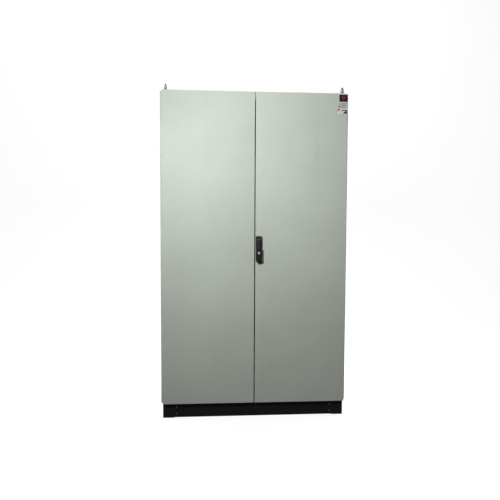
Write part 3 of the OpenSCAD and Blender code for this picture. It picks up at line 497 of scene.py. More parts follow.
def round_rect(x0, x1, z0, z1, r, steps=4):
    """Closed outline of a rectangle with round corners."""
    r = max(0.05, min(r, (x1 - x0) / 2 - 0.01, (z1 - z0) / 2 - 0.01))
    pts = []
    centres = ((x1 - r, z1 - r), (x0 + r, z1 - r), (x0 + r, z0 + r), (x1 - r, z0 + r))
    for quarter, (cx, cz) in enumerate(centres):
        pts += arc(cx, cz, r, 90 * quarter, 90 * quarter + 90, steps)
    return pts


def sheet_ring(rect, inset, depth, corner, to_xyz):
    """One ring of a folded pan: rect (u0, u1, v0, v1) pulled in by (left, right, bottom, top)."""
    left, right, bottom, top = (inset,) * 4 if isinstance(inset, (int, float)) else inset
    outline = round_rect(rect[0] + left, rect[1] - right, rect[2] + bottom, rect[3] - top, corner)
    return [Vector(to_xyz(u, v, depth)) * MM for u, v in outline]


def add_pan(bm, rect, depth, to_xyz, thick=2.0, fold_r=3.0, corner=2.5, flange=None):
    """A folded sheet pan with bent edges. flange is the width of the inward return on each side."""
    bend = [math.radians(90 * i / 4) for i in range(5)]
    rings = [(fold_r - fold_r * math.sin(a), fold_r - fold_r * math.cos(a), corner) for a in bend]
    if flange:
        rings += [(0, depth - 1.0, corner), (0.3, depth - 0.3, corner), (1.0, depth, corner)]
        rings += [(flange, depth, 1.0), (flange, depth - thick, 1.0)]
        rings += [(thick + 0.5, depth - thick, 1.0), (thick, depth - thick - 0.5, 1.0)]
    else:
        rings += [(0, depth, corner), (thick, depth, 1.0)]
    rings += [(thick, thick + 0.6, 1.0), (thick + 0.6, thick, 1.0)]
    add_rings(bm, [sheet_ring(rect, inset, d, c, to_xyz) for inset, d, c in rings])


def cut(obj, make_cutter):
    """Takes the shape drawn by make_cutter out of a piece's mesh."""
    bm = bmesh.new()
    make_cutter(bm)
    tool = made_object("cutter", bm)
    mod = obj.modifiers.new("cut", "BOOLEAN")
    mod.object = tool
    mod.operation = "DIFFERENCE"
    mod.solver = "EXACT"
    bpy.context.view_layer.update()
    graph = bpy.context.evaluated_depsgraph_get()
    result = bpy.data.meshes.new_from_object(obj.evaluated_get(graph))
    obj.modifiers.remove(mod)
    obj.data = result
    bpy.data.objects.remove(tool)
    finish_mesh(obj)


def add_tube(bm, points, radius, sides=10, mat=0):
    """A round tube in mm along a list of points, with capped ends."""
    pts = [Vector(p) * MM for p in points]
    rings = []
    side = None
    turns = [2 * math.pi * k / sides for k in range(sides)]
    for i, p in enumerate(pts):
        t = (pts[min(i + 1, len(pts) - 1)] - pts[max(i - 1, 0)]).normalized()
        if side is None:
            side = t.orthogonal().normalized()
        side = (side - t * side.dot(t)).normalized()
        up = t.cross(side)
        rings.append([p + (side * math.cos(a) + up * math.sin(a)) * radius * MM for a in turns])
    add_rings(bm, rings, mat)


def mm_box(node):
    """A CAD node's two corners in mm."""
    lo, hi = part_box(node)
    return lo / MM, hi / MM


def spans(node, axis, gap):
    """(low, high) in mm of each group of a CAD node's vertices along an axis, split at gaps."""
    values = sorted(v.co[axis] / MM for v in nodes[node].data.vertices)
    groups = [[values[0], values[0]]]
    for value in values:
        if value - groups[-1][1] > gap:
            groups.append([value, value])
        groups[-1][1] = value
    return groups


def soften(obj, width, segments):
    """Rounds the sharp edges by a width in mm, if there is one, and keeps flat faces flat."""
    if width:
        mod = obj.modifiers.new("bevel", "BEVEL")
        mod.width = width * MM
        mod.segments = segments
        mod.limit_method = "ANGLE"
        mod.angle_limit = math.radians(30)
        mod.use_clamp_overlap = True
    flat = obj.modifiers.new("flat_faces", "WEIGHTED_NORMAL")
    flat.keep_sharp = True


JOINTS = {j["name"]: j for j in frame["joints"]}


def pivot(name):
    """A hinge's point in mm."""
    return Vector(JOINTS[name]["pos_m"]) / MM


# places and sizes that several pieces share, most of them read from the frame, in mm
DOOR_LO, DOOR_HI = mm_box("right_door")
FRONT = DOOR_LO.y
HINGE = pivot("right_door_hinge")
SPINDLE = pivot("handle_turn")
LEVER_L = pivot("left_lever_turn")
ROOF_TOP = mm_box("roof_panel")[1].z
POST_LO, POST_HI = mm_box("frame_posts")
TUBE = 50.0
HINGE_ZS = [(a + b) / 2 for a, b in spans("hinge_brackets", 2, 100)]
SKIN = 2.0

# ------------------------------------------------------------------ doors and panels


def door(name, side):
    """Folded door with rounded edges, hinge notches and lock holes. side is 1 for right, -1 for left."""
    lo, hi = mm_box(name)
    lock_x = abs(SPINDLE.x if side > 0 else LEVER_L.x)
    free = lock_x + 20
    flange = (free, 40, 40, 40) if side > 0 else (40, free, 40, 40)
    bm = bmesh.new()
    rect = (lo.x, hi.x, lo.z, hi.z)
    add_pan(bm, rect, hi.y - lo.y, lambda u, v, d: (u, lo.y + d, v), SKIN, 3.0, 3.0, flange)
    obj = piece("door_shell_" + name, bm, "door", name, name)

    def cutters(tool):
        for z in HINGE_ZS:
            xs = sorted((side * (HINGE.x - 3.5), side * (HINGE.x + 16)))
            add_box(tool, (xs[0], lo.y + SKIN + 0.7, z - 26), (xs[1], hi.y + 3, z + 26))
        add_disc(tool, 6.5, 0, 8, (side * lock_x, hi.y - 5, SPINDLE.z))
        if side > 0:
            add_disc(tool, 7, 0, 8, (lock_x, lo.y - 3, SPINDLE.z))

    cut(obj, cutters)


def door_seal(name, body, side):
    """Foamed bead round the inside of a door, with a crowned back."""
    lo, hi = mm_box(name)
    free, wide = 4.4, 10.0
    widths = (free, wide, wide, wide) if side > 0 else (wide, free, wide, wide)
    rect = (lo.x, hi.x, lo.z, hi.z)
    crown = [(0.0, 0.0), (0.03, 0.45), (0.14, 0.80), (0.32, 0.97), (0.5, 1.0), (0.68, 0.97), (0.86, 0.80),
             (0.97, 0.45), (1.0, 0.0)]
    bm = bmesh.new()
    rings = []
    for across, high in crown:
        inset = tuple(w * across for w in widths)
        rings.append(sheet_ring(rect, inset, high * (hi.y - lo.y), 6.0, lambda u, v, d: (u, lo.y + d, v)))
    add_rings(bm, rings, loop=True)
    piece("seal_" + name, bm, "foam", body, name, 60)


def side_panel(name, side):
    """Folded side sheet with two stiffening bars inside and screws along both edges."""
    lo, hi = mm_box(name)
    outer = hi.x if side > 0 else lo.x
    bm = bmesh.new()
    rect = (lo.y, hi.y, lo.z, hi.z)
    add_pan(bm, rect, hi.x - lo.x, lambda u, v, d: (outer - side * d, u, v), 1.5, 2.5, 2.5)
    for z in (lo.z + 640, lo.z + 1300):
        xs = sorted((outer - side * 1.5, outer - side * 10.0))
        add_box(bm, (xs[0], lo.y + 3, z), (xs[1], hi.y - 3, z + 60), 1.0)
    piece("skin_" + name, bm, "side", instead_of=name)
    screws = bmesh.new()
    for y in (lo.y + 27, hi.y - 27):
        for i in range(4):
            z = lo.z + 90 + i * (hi.z - lo.z - 180) / 3
            panel_screw(screws, (outer, y, z), "x" if side > 0 else "-x")
    piece("screws_" + name, screws, "screw")


def panel_screw(bm, at, axis):
    """Countersunk head with a six-lobed recess, standing 0.8 mm proud."""
    r = 6.5
    head = [(r * 0.5, -3), (r, -0.4), (r, 0.3), (r - 0.5, 0.8)]
    recess = [(r * 0.46, 0.8), (r * 0.40, 0.4), (r * 0.36, -1.6)]
    add_lathe(bm, [(0, -3)] + head + recess + [(0, -1.6)], at, axis, 24)


def roof():
    """Folded roof sheet."""
    lo, hi = mm_box("roof_panel")
    bm = bmesh.new()
    add_pan(bm, (lo.x, hi.x, lo.y, hi.y), hi.z - lo.z, lambda u, v, d: (u, v, hi.z - d), SKIN, 3.0, 4.0)
    piece("roof_skin", bm, "roof", instead_of="roof_panel")


def rear():
    """Folded rear sheet with two square openings for the filters, and its screws."""
    lo, hi = mm_box("rear_panel")
    bm = bmesh.new()
    add_pan(bm, (lo.x, hi.x, lo.z, hi.z), hi.y - lo.y, lambda u, v, d: (u, hi.y - d, v), 1.5, 2.5, 3.0)
    obj = piece("rear_skin", bm, "side", instead_of="rear_panel")
    opening = 104  # half of the opening's width

    def openings(tool):
        for x, z in vent_centres():
            add_box(tool, (x - opening, hi.y - 8, z - opening), (x + opening, hi.y + 6, z + opening))

    cut(obj, openings)
    screws = bmesh.new()
    for x in (lo.x + 22, hi.x - 22):
        for i in range(5):
            panel_screw(screws, (x, hi.y, lo.z + 60 + i * (hi.z - lo.z - 120) / 4), "y")
    for x, z in product((-190, 190), (lo.z + 22, hi.z - 22)):
        panel_screw(screws, (x, hi.y, z), "y")
    piece("screws_rear_panel", screws, "screw")


def vent_centres():
    """(x, z) of the filter fan and of the exhaust on the rear panel."""
    fan = pivot("filter_fan_spin")
    z0, z1 = spans("filter_grilles", 2, 100)[1]
    return [(fan.x, fan.z), (mm_box("filter_grilles")[0].x + (z1 - z0) / 2, (z0 + z1) / 2)]


def grilles():
    """Louvred covers with rounded frames and bowed slats."""
    y0 = mm_box("filter_grilles")[0].y
    half, half_slat = 125, 101
    profile = [(0, 0), (0, 8), (1.0, 10.6), (3.5, 12), (20, 12), (23.5, 11), (25, 8), (25, 0)]
    bm = bmesh.new()
    for x, z in vent_centres():
        rect = (x - half, x + half, z - half, z + half)
        rings = [sheet_ring(rect, inset, d, 9.0 - inset * 0.2, lambda u, v, w: (u, y0 + w, v))
                 for inset, d in profile]
        add_rings(bm, rings, loop=True)
        for i in range(11):
            zc = z - 91 + i * 18.2
            slat = []
            for k in range(7):
                t = k / 6
                slat.append((y0 + 1.5 + 9.2 * t, zc + 5.5 - 13.0 * t + 2.4 * math.sin(math.pi * t)))
            back = [(y + 0.6, w + 1.9) for y, w in reversed(slat)]
            add_prism(bm, slat + back, x - half_slat, x + half_slat, "x")
    piece("vent_covers", bm, "light", instead_of="filter_grilles")


# ------------------------------------------------------------------ plinth and roof fittings


def plinth():
    """Corner pieces, and trims folded to a channel whose tabs step behind the corner pieces."""
    dress("plinth_corners", "plinth", 0.7)
    dress("cabinet_screws", "screw", 0.25)
    lo, hi = mm_box("plinth_trims")
    bm = bmesh.new()
    foot, sheet, lip_depth = 75, 2, 22
    for face, side, end, axis in ((hi.y, 1, hi.x - foot, "x"), (lo.y, -1, hi.x - foot, "x"),
                                  (hi.x, 1, hi.y - foot, "y"), (lo.x, -1, hi.y - foot, "y")):
        web, lip = face - sheet * side, face - lip_depth * side
        outer = [(face, lo.z), (face, hi.z), (lip, hi.z), (lip, hi.z - sheet)]
        inner = [(web, hi.z - sheet), (web, lo.z + sheet), (lip, lo.z + sheet), (lip, lo.z)]
        add_prism(bm, outer + inner, -end, end, axis)
        for e in (-1, 1):
            tab = [(end - 20, 2), (end - 2, 2), (end - 2, 3), (end + 18, 3), (end + 18, 5), (end - 20, 5)]
            flat = [(e * u, face - side * v) for u, v in tab]
            add_prism(bm, flat if axis == "x" else [(v, u) for u, v in flat], lo.z + 9, hi.z - 9, "z")
    soften(piece("plinth_covers", bm, "trim", instead_of="plinth_trims"), 0.7, 2)


def lifting_eyes():
    """Forged ring bolts: a collar, and a ring along X that gets thinner towards its top."""
    bm = bmesh.new()
    hole_r, rim_r = 12.5, 22.5
    collar = [(0, -20), (5, -20), (5, 0), (12, 0), (12.5, 0.6), (12.5, 3.4), (11.8, 4.2), (0, 4.4)]
    hole = [(-1, 14.5), (-0.72, 13.1), (0, hole_r), (0.72, 13.1), (1, 14.5)]
    rim = [(1, 20.4), (0.72, 21.9), (0, rim_r), (-0.72, 21.9), (-1, 20.4)]
    for x, y in product((-1, 1), (-1, 1)):
        at = Vector((x * (POST_HI.x - TUBE / 2), y * (POST_HI.y - TUBE / 2), ROOF_TOP))
        add_lathe(bm, collar, at, "z", 36)
        rings = []
        for i in range(60):
            a = 2 * math.pi * i / 60
            ring = []
            for across, r in hole + rim:
                p = Vector((0, 0, rim_r)) + Vector((0, math.cos(a), math.sin(a))) * r
                half = 9.5 - 7.0 * max(p.z - 3, 0) / 42
                ring.append((at + p + Vector((across * half, 0, 0))) * MM)
            rings.append(ring)
        add_rings(bm, rings, loop=True)
    piece("ring_bolts", bm, "forged", "cabinet", "lifting_eyes", 40)


# ------------------------------------------------------------------ handle


def lever_outline(top, inset):
    """Front outline of the handle lever: cut off low on the left, round at the top right."""
    x0, x1 = 7 + inset, 40 - inset
    z0 = mm_box("handle_lever")[0].z + inset
    r = 7.0
    k = (x1 - x0) / 33
    left = [(0, 12.5), (1.2, 11.2), (17, 1), (19.5, 0)]
    right = [(8, 0), (5, 1.3), (1.2, 5), (0, 8)]
    pts = [(x0 + u * k, z0 + v) for u, v in left] + [(x1 - u * k, z0 + v) for u, v in right]
    return pts + arc(x1 - r, top - r, r, 0, 90, 5) + arc(x0 + 3, top - 3, 3, 90, 180, 3)


def handle():
    """Swing handle: hollow rounded lever with grip grooves, pin, base plate, liner and a red dot on the key."""
    lo, hi = mm_box("handle_lever")
    pin = pivot("handle_fold")
    key = pivot("key_turn")
    depth = pin.y - lo.y

    def top_at(y):
        return pin.z + math.sqrt(max(depth**2 - (y - pin.y) ** 2, 1.0))

    rows = []
    back = [(hi.y, 1.0), (hi.y - 1, 0.2), (pin.y + 6, 0), (pin.y, 0), (pin.y - 4, 0)]
    front = [(pin.y - 7.5, 0.3), (pin.y - 9.3, 1.1), (pin.y - 10.4, 2.4), (lo.y, 4.6)]
    for y, inset in back + front:
        rows.append(laid(lever_outline(top_at(y), inset), y))
    bm = bmesh.new()
    add_rings(bm, rows)
    lever = piece("handle_grip", bm, "handle", "handle_lever", "handle_lever", 40)

    def hollows(tool):
        x = SPINDLE.x
        add_box(tool, (x - 5.6, pin.y - 4, pin.z - 7.6), (x + 5.6, pin.y + 13, pin.z + 13), 1.0)
        add_box(tool, (11, pin.y + 2, lo.z + 17), (36, pin.y + 13, key.z - 14), 1.5)
        add_box(tool, (11, pin.y + 2, key.z + 14), (36, pin.y + 13, pin.z - 14), 1.5)
        bore = [(0, -3), (9.2, -3), (9.2, 1.0), (7.3, 2.0), (7.3, 30), (0, 30)]
        add_lathe(tool, bore, (x, lo.y, key.z), "y")
        for i in range(5):
            z = key.z + 34 + i * 8
            add_lathe(tool, [(0, -13), (1.3, -12.2), (1.3, 12.2), (0, 13)], (x - 0.5, lo.y - 0.2, z), "x", 16)

    cut(lever, hollows)
    pin_mesh = bmesh.new()
    add_lathe(pin_mesh, rounded_profile(2.5, 33.2, 0.5, -0.1), (7, pin.y, pin.z), "x", 24)
    piece("handle_pin", pin_mesh, "steel", "handle_lever")

    base_lo, base_hi = mm_box("handle_base")
    x0, x1, x2 = base_lo.x, base_hi.x - 7, base_hi.x
    z0, z1 = base_lo.z, base_hi.z
    step = z0 + 88
    outline = [(x0, z0 + 20.6), (x0 + 1, z0 + 18.8), (x0 + 21.5, z0 + 1), (x0 + 24, z0)]
    outline += [(x2 - 3, z0), (x2, z0 + 3), (x2, step - 5), (x2 - 0.8, step - 3)]
    outline += [(x1 + 0.8, step + 2), (x1, step + 4)]
    outline += arc(x1 - 8, z1 - 8, 8, 0, 90, 6)
    outline += [(x0 + 2, z1), (x0, z1 - 2)]
    bm = bmesh.new()
    add_prism(bm, outline, base_lo.y, base_hi.y, "y")
    # the plate's olive colour partly paints the lever's shadow on its uncovered right strip
    base = piece("handle_base_plate", bm, "handle_base", "right_door", "handle_base")

    def turret_hole(tool):
        add_disc(tool, 16.4, -2, 12, (SPINDLE.x, base_lo.y, SPINDLE.z), sides=48)

    cut(base, turret_hole)
    soften(base, 1.2, 3)
    bm = bmesh.new()
    liner = [(x0 + 0.4, z0 + 21), (x0 + 13, z0 + 10), (39, z0 + 10), (39, z1 - 5)]
    liner += [(34, z1 - 0.4), (x0 + 2, z1 - 0.4), (x0 + 0.4, z1 - 2)]
    add_prism(bm, liner, base_lo.y - 1.8, base_lo.y, "y")
    liner_piece = piece("handle_liner", bm, "handle", "right_door")
    cut(liner_piece, turret_hole)
    soften(liner_piece, 0.5, 2)
    dress("handle_hub", "handle", 0.5)
    dress("key_cylinder", "barrel", 0.3)
    dot = bmesh.new()
    add_disc(dot, 1.8, -0.1, 0.3, (key.x + 3.6, mm_box("key_cylinder")[0].y, key.z + 2.6), sides=20)
    piece("key_mark", dot, "red_plastic", "key_cylinder")


# ------------------------------------------------------------------ labels without marks


def labels():
    """Three plain plates at the top right of the right door: black, silver and white."""
    right = DOOR_HI.x - 2.5
    y = FRONT
    tops = {"black": DOOR_HI.z - 8, "silver": DOOR_HI.z - 57, "white": DOOR_HI.z - 96}

    def plate(bm, x0, x1, z0, z1, thick, mat, lift=0.0):
        add_prism(bm, round_rect(x0, x1, z0, z1, 1.2, 3), y - lift - thick, y - lift, "y", mat)

    bm = bmesh.new()
    top = tops["black"]
    plate(bm, right - 52, right, top - 43, top, 0.5, 0)
    plate(bm, right - 38, right - 10, top - 21, top - 12, 0.15, 1, 0.5)
    plate(bm, right - 36, right - 14, top - 33, top - 26, 0.15, 2, 0.5)
    piece("plate_black", bm, ("label_black", "label_red", "dark"), "right_door")
    bm = bmesh.new()
    top = tops["silver"]
    plate(bm, right - 58, right - 1, top - 33, top, 0.5, 0)
    for i in range(5):
        z = top - 5.8 - i * 5.4
        plate(bm, right - 44 + (i % 2) * 4, right - 6 - (i % 3) * 5, z, top - 4.4 - i * 5.4, 0.1, 1, 0.5)
    plate(bm, right - 57, right - 47, top - 31, top - 22, 0.1, 2, 0.5)
    piece("plate_silver", bm, ("label_silver", "label_grey", "label_grey"), "right_door")
    bm = bmesh.new()
    top = tops["white"]
    plate(bm, right - 63, right, top - 32, top, 0.5, 0)

    def patch(outline, mat):
        add_prism(bm, [(right + u, top + v) for u, v in outline], y - 0.6, y - 0.5, "y", mat)

    patch([(-62, -1), (-62, -18), (-40, -1)], 1)
    patch([(-1, -31), (-28, -31), (-19, -18), (-1, -12)], 2)
    patch([(-42, -15), (-31, -7), (-12, -7), (-3, -4), (-1, -11), (-12, -14), (-31, -13), (-37, -17)], 3)
    piece("plate_white", bm, ("label_white", "label_orange", "label_green", "dark"), "right_door")


# ------------------------------------------------------------------ frame


def add_punched(bm, origin, along, across, length, width, pitch, hole_r, depth):
    """A flat strip with a row of round holes whose lips turn inwards. along and across are unit vectors."""
    origin, along, across = Vector(origin), Vector(along), Vector(across)
    inward = along.cross(across)
    count = max(1, int(length / pitch))
    cell = length / count
    sides = 12

    def spot(a, b, d=0.0):
        return (origin + along * a + across * b + inward * d) * MM

    for i in range(count):
        mid = (i + 0.5) * cell
        outer, inner, back = [], [], []
        for k in range(sides):
            t = 2 * math.pi * (k + 0.5) / sides
            c, s = math.cos(t), math.sin(t)
            reach = max(abs(c) / (cell / 2), abs(s) / (width / 2))
            outer.append(bm.verts.new(spot(mid + c / reach, width / 2 + s / reach)))
            inner.append(bm.verts.new(spot(mid + hole_r * c, width / 2 + hole_r * s)))
            back.append(bm.verts.new(spot(mid + hole_r * c, width / 2 + hole_r * s, depth)))
        for k in range(sides):
            j = (k + 1) % sides
            for quad in ((outer[k], outer[j], inner[j], inner[k]), (inner[k], inner[j], back[j], back[k])):
                bm.faces.new(quad)
        for a, b in product((0, cell), (0, width)):
            corner = spot(i * cell + a, b)
            near = sorted(outer, key=lambda v: (v.co - corner).length)[:2]
            if min((v.co - corner).length for v in near) > 1e-7:
                bm.faces.new((bm.verts.new(corner), *near))


def punched_tube(bm, lo, hi, axis, punched):
    """Square tube with rounded edges; the faces named in punched carry rows of holes."""
    r = 3.0
    u, v = [i for i in range(3) if i != axis]
    along = Vector([1.0 if i == axis else 0.0 for i in range(3)])
    length = hi[axis] - lo[axis]
    for side in range(4):
        w, flat = (u, v) if side % 2 == 0 else (v, u)
        sign = 1 if side < 2 else -1
        level = hi[w] if sign > 0 else lo[w]
        start = [0.0, 0.0, 0.0]
        start[axis], start[w], start[flat] = lo[axis], level, lo[flat] + r
        across = Vector([1.0 if i == flat else 0.0 for i in range(3)])
        width = hi[flat] - lo[flat] - 2 * r
        name = ("+" if sign > 0 else "-") + "xyz"[w]
        if name in punched:
            if along.cross(across)[w] * sign > 0:
                start[flat] += width
                across = -across
            add_punched(bm, start, along, across, length, width, 25.0, 4.0, 1.8)
        else:
            a, b = Vector(start), Vector(start) + across * width
            quad = [p * MM for p in (a, b, b + along * length, a + along * length)]
            bm.faces.new([bm.verts.new(p) for p in quad])
    for su, sv in product((1, -1), (1, -1)):
        cu = (hi[u] - r) if su > 0 else (lo[u] + r)
        cv = (hi[v] - r) if sv > 0 else (lo[v] + r)
        rows = []
        for i in range(5):
            t = math.pi / 2 * i / 4
            p = Vector((0, 0, 0))
            p[u], p[v], p[axis] = cu + su * r * math.cos(t), cv + sv * r * math.sin(t), lo[axis]
            rows.append((bm.verts.new(p * MM), bm.verts.new((p + along * length) * MM)))
        skin_rows(bm, rows)


def tube_span(side, edge):
    """Low and high coordinate of a tube whose outer face is at an edge, on one side of the middle."""
    return sorted((side * edge, side * (edge - TUBE)))


def cabinet_frame():
    """Punched frame posts and rails."""
    lo, hi = POST_LO, POST_HI
    bm = bmesh.new()
    for sx, sy in product((-1, 1), (-1, 1)):
        xs, ys = tube_span(sx, hi.x), tube_span(sy, hi.y)
        inner = {"-x" if sx > 0 else "+x", "-y" if sy > 0 else "+y"}
        punched_tube(bm, (xs[0], ys[0], lo.z), (xs[1], ys[1], hi.z), 2, inner)
    piece("punched_posts", bm, "zinc", instead_of="frame_posts")
    bm = bmesh.new()
    for z0, z1, up in ((lo.z, lo.z + TUBE, "+z"), (hi.z - TUBE, hi.z, "-z")):
        for s in (-1, 1):
            xs, ys = tube_span(s, hi.x), tube_span(s, hi.y)
            inner = {"-y" if s > 0 else "+y", up}
            punched_tube(bm, (-hi.x + TUBE, ys[0], z0), (hi.x - TUBE, ys[1], z1), 0, inner)
            inner = {"-x" if s > 0 else "+x", up}
            punched_tube(bm, (xs[0], -hi.y + TUBE, z0), (xs[1], hi.y - TUBE, z1), 1, inner)
    piece("punched_rails", bm, "zinc", instead_of="frame_rails")
    # the centre post's black is painted shade for the gap between the doors
    dress("centre_post", "post", 0.8)
    dress("inner_rails", "zinc", 0.8)


# ------------------------------------------------------------------ drive unit

DRIVE_LO, DRIVE_HI = mm_box("drive_cover")
DRIVE_X = (DRIVE_LO.x + DRIVE_HI.x) / 2
KEY_LO, KEY_HI = mm_box("drive_keypad")


def drive_cover():
    """Moulded cover with large edge radii, two pressed lines, air slots, screws and blank plates."""
    lo, hi = DRIVE_LO, DRIVE_HI
    bm = bmesh.new()
    add_pan(bm, (lo.x, hi.x, lo.z, hi.z), hi.y - lo.y, lambda u, v, d: (u, lo.y + d, v), 2.5, 12.0, 14.0)
    obj = piece("drive_cover_shell", bm, "cover", instead_of="drive_cover")
    screw_spots = list(product((lo.x + 24, hi.x - 24), (lo.z + 300, lo.z + 970)))

    def slots(tool):
        for i in range(14):
            z = lo.z + 60 + i * 14
            outline = round_rect(DRIVE_X - 150, DRIVE_X + 150, z, z + 6, 2.9, 5)
            add_prism(tool, outline, lo.y - 2, lo.y + 6, "y")
        add_box(tool, (lo.x - 4, lo.y - 3, lo.z + 330), (hi.x + 4, lo.y + 1.4, lo.z + 333.5))
        add_box(tool, (lo.x + 20, lo.y - 3, lo.z + 869), (hi.x - 20, lo.y + 1.2, lo.z + 871))
        for x, z in screw_spots:
            add_disc(tool, 6, -3, 2.0, (x, lo.y, z), sides=24)

    cut(obj, slots)
    screws = bmesh.new()
    head = [(0, 2), (5, 2), (5, 0.8), (4.2, 0.2), (2.3, 0.2), (2.1, 1.4), (0, 1.4)]
    for x, z in screw_spots:
        add_lathe(screws, head, (x, lo.y, z), "y", 24)
    piece("drive_cover_screws", screws, "steel")
    band = bmesh.new()
    add_box(band, (lo.x + 24, lo.y - 0.5, lo.z + 900), (lo.x + 150, lo.y + 0.2, lo.z + 940), 0.2, 1, 0)
    add_box(band, (hi.x - 120, lo.y - 0.5, lo.z + 380), (hi.x - 30, lo.y + 0.2, lo.z + 440), 0.2, 1, 1)
    add_box(band, (hi.x - 114, lo.y - 0.6, lo.z + 426), (hi.x - 36, lo.y + 0.2, lo.z + 433), 0, 1, 2)
    for i in range(4):
        low = (hi.x - 114, lo.y - 0.6, lo.z + 417 - i * 8)
        add_box(band, low, (hi.x - 60 + i * 5, lo.y + 0.2, lo.z + 419 - i * 8), 0, 1, 3)
    piece("drive_plates", band, ("label_black", "label_silver", "label_black", "label_grey"))


def keypad():
    """Operator panel: framed screen, nine soft keys and three status lamps."""
    lo, hi = KEY_LO, KEY_HI
    bm = bmesh.new()
    rows = []
    for y, inset in ((hi.y, 0), (lo.y + 5, 0), (lo.y + 3.4, 0.6), (lo.y + 2.2, 2.2)):
        outline = round_rect(lo.x + inset, hi.x - inset, lo.z + inset, hi.z - inset, 7.0, 5)
        rows.append(laid(outline, y))
    add_rings(bm, rows)
    body = piece("keypad_body", bm, "keypad", instead_of="drive_keypad")

    def window(tool):
        outline = round_rect(DRIVE_X - 31, DRIVE_X + 31, lo.z + 81, lo.z + 139, 3, 4)
        add_prism(tool, outline, lo.y - 2, lo.y + 4.2, "y")

    cut(body, window)
    glass = bmesh.new()
    low = (DRIVE_X - 30.6, lo.y + 3.4, lo.z + 81.4)
    add_box(glass, low, (DRIVE_X + 30.6, lo.y + 4.6, lo.z + 138.6), 0, 1, 0)
    for i in range(5):
        z = lo.z + 129 - i * 9
        end = DRIVE_X + (8, 22, 16, 24, -4)[i]
        add_box(glass, (DRIVE_X - 26, lo.y + 3.2, z - 3.2), (end, lo.y + 3.5, z), 0, 1, 1)
    piece("keypad_screen", glass, ("screen", "label_black"))
    keys = bmesh.new()
    dome = [(0, -1), (6.6, -1), (6.6, 1.0), (6.0, 1.9), (4.6, 2.4), (0, 2.5)]
    for i, k in product((-1, 0, 1), range(3)):
        at = (DRIVE_X + i * 20, lo.y + 2.6, lo.z + 22 + k * 19)
        add_lathe(keys, dome, at, "-y", 28, {(-1, 0): 1, (1, 0): 2}.get((i, k), 0))
    for i in range(3):
        at = (DRIVE_X - 10 + i * 10, lo.y + 2.4, lo.z + 145)
        add_stud(keys, (1.7, 1.4, 0.6), at, 16, (2, 3, 1)[i])
    piece("keypad_keys", keys, ("light", "label_red", "label_green", "label_orange"))


def curved_fan(node, centre, axis, r_hub, r_tip, depth):
    """Fan wheel with twisted sickle blades and a domed hub."""
    bm = bmesh.new()
    place = Matrix.Translation(Vector(centre) * MM) @ frame_of(axis)
    hub = [(0, 0), (r_hub, 0), (r_hub, depth - 3), (r_hub - 1.2, depth - 0.8), (r_hub - 4, depth - 0.3)]
    hub += [(r_hub * 0.5, depth - 0.3), (r_hub * 0.42, depth - 1.2), (0, depth - 1.2)]
    add_lathe(bm, hub, centre, axis, 48)
    blades = 7
    for b in range(blades):
        rows = []
        for i in range(9):
            t = i / 8
            r = r_hub - 1.5 + (r_tip - r_hub + 1.3) * t
            sweep = 2 * math.pi * b / blades + 0.42 * t * t
            pitch = math.radians(50 - 22 * t)
            chord = depth * 0.46 / math.sin(pitch)
            chord = min(chord, math.pi * r / blades * 0.92 / math.cos(pitch))
            row = []
            for side, ks in ((1, range(7)), (-1, range(6, -1, -1))):
                for k in ks:
                    s = k / 6 * 2 - 1
                    camber = 1.6 * (1 - s * s)
                    half = 0.75 * (1 - 0.7 * s * s) * side
                    a_len = s * chord * math.cos(pitch) - (camber + half) * math.sin(pitch)
                    h = s * chord * math.sin(pitch) + (camber + half) * math.cos(pitch)
                    angle = sweep + a_len / r
                    z = depth / 2 + max(-depth / 2 + 0.3, min(depth / 2 - 0.3, h))
                    row.append(place @ (Vector((r * math.cos(angle), r * math.sin(angle), z)) * MM))
            rows.append(row)
        add_rings(bm, rows)
    piece("blades_" + node, bm, "black", node, node, 50)


# ------------------------------------------------------------------ switchgear


def screw_head(bm, at, r, mat):
    """Pan head facing the front, with a round recess sunk in it."""
    head = [(0, -1), (r, -1), (r, 0.6), (r * 0.85, 1.2), (r * 0.4, 1.5), (r * 0.35, 0.6), (0, 0.6)]
    add_lathe(bm, head, at, "-y", 18, mat)


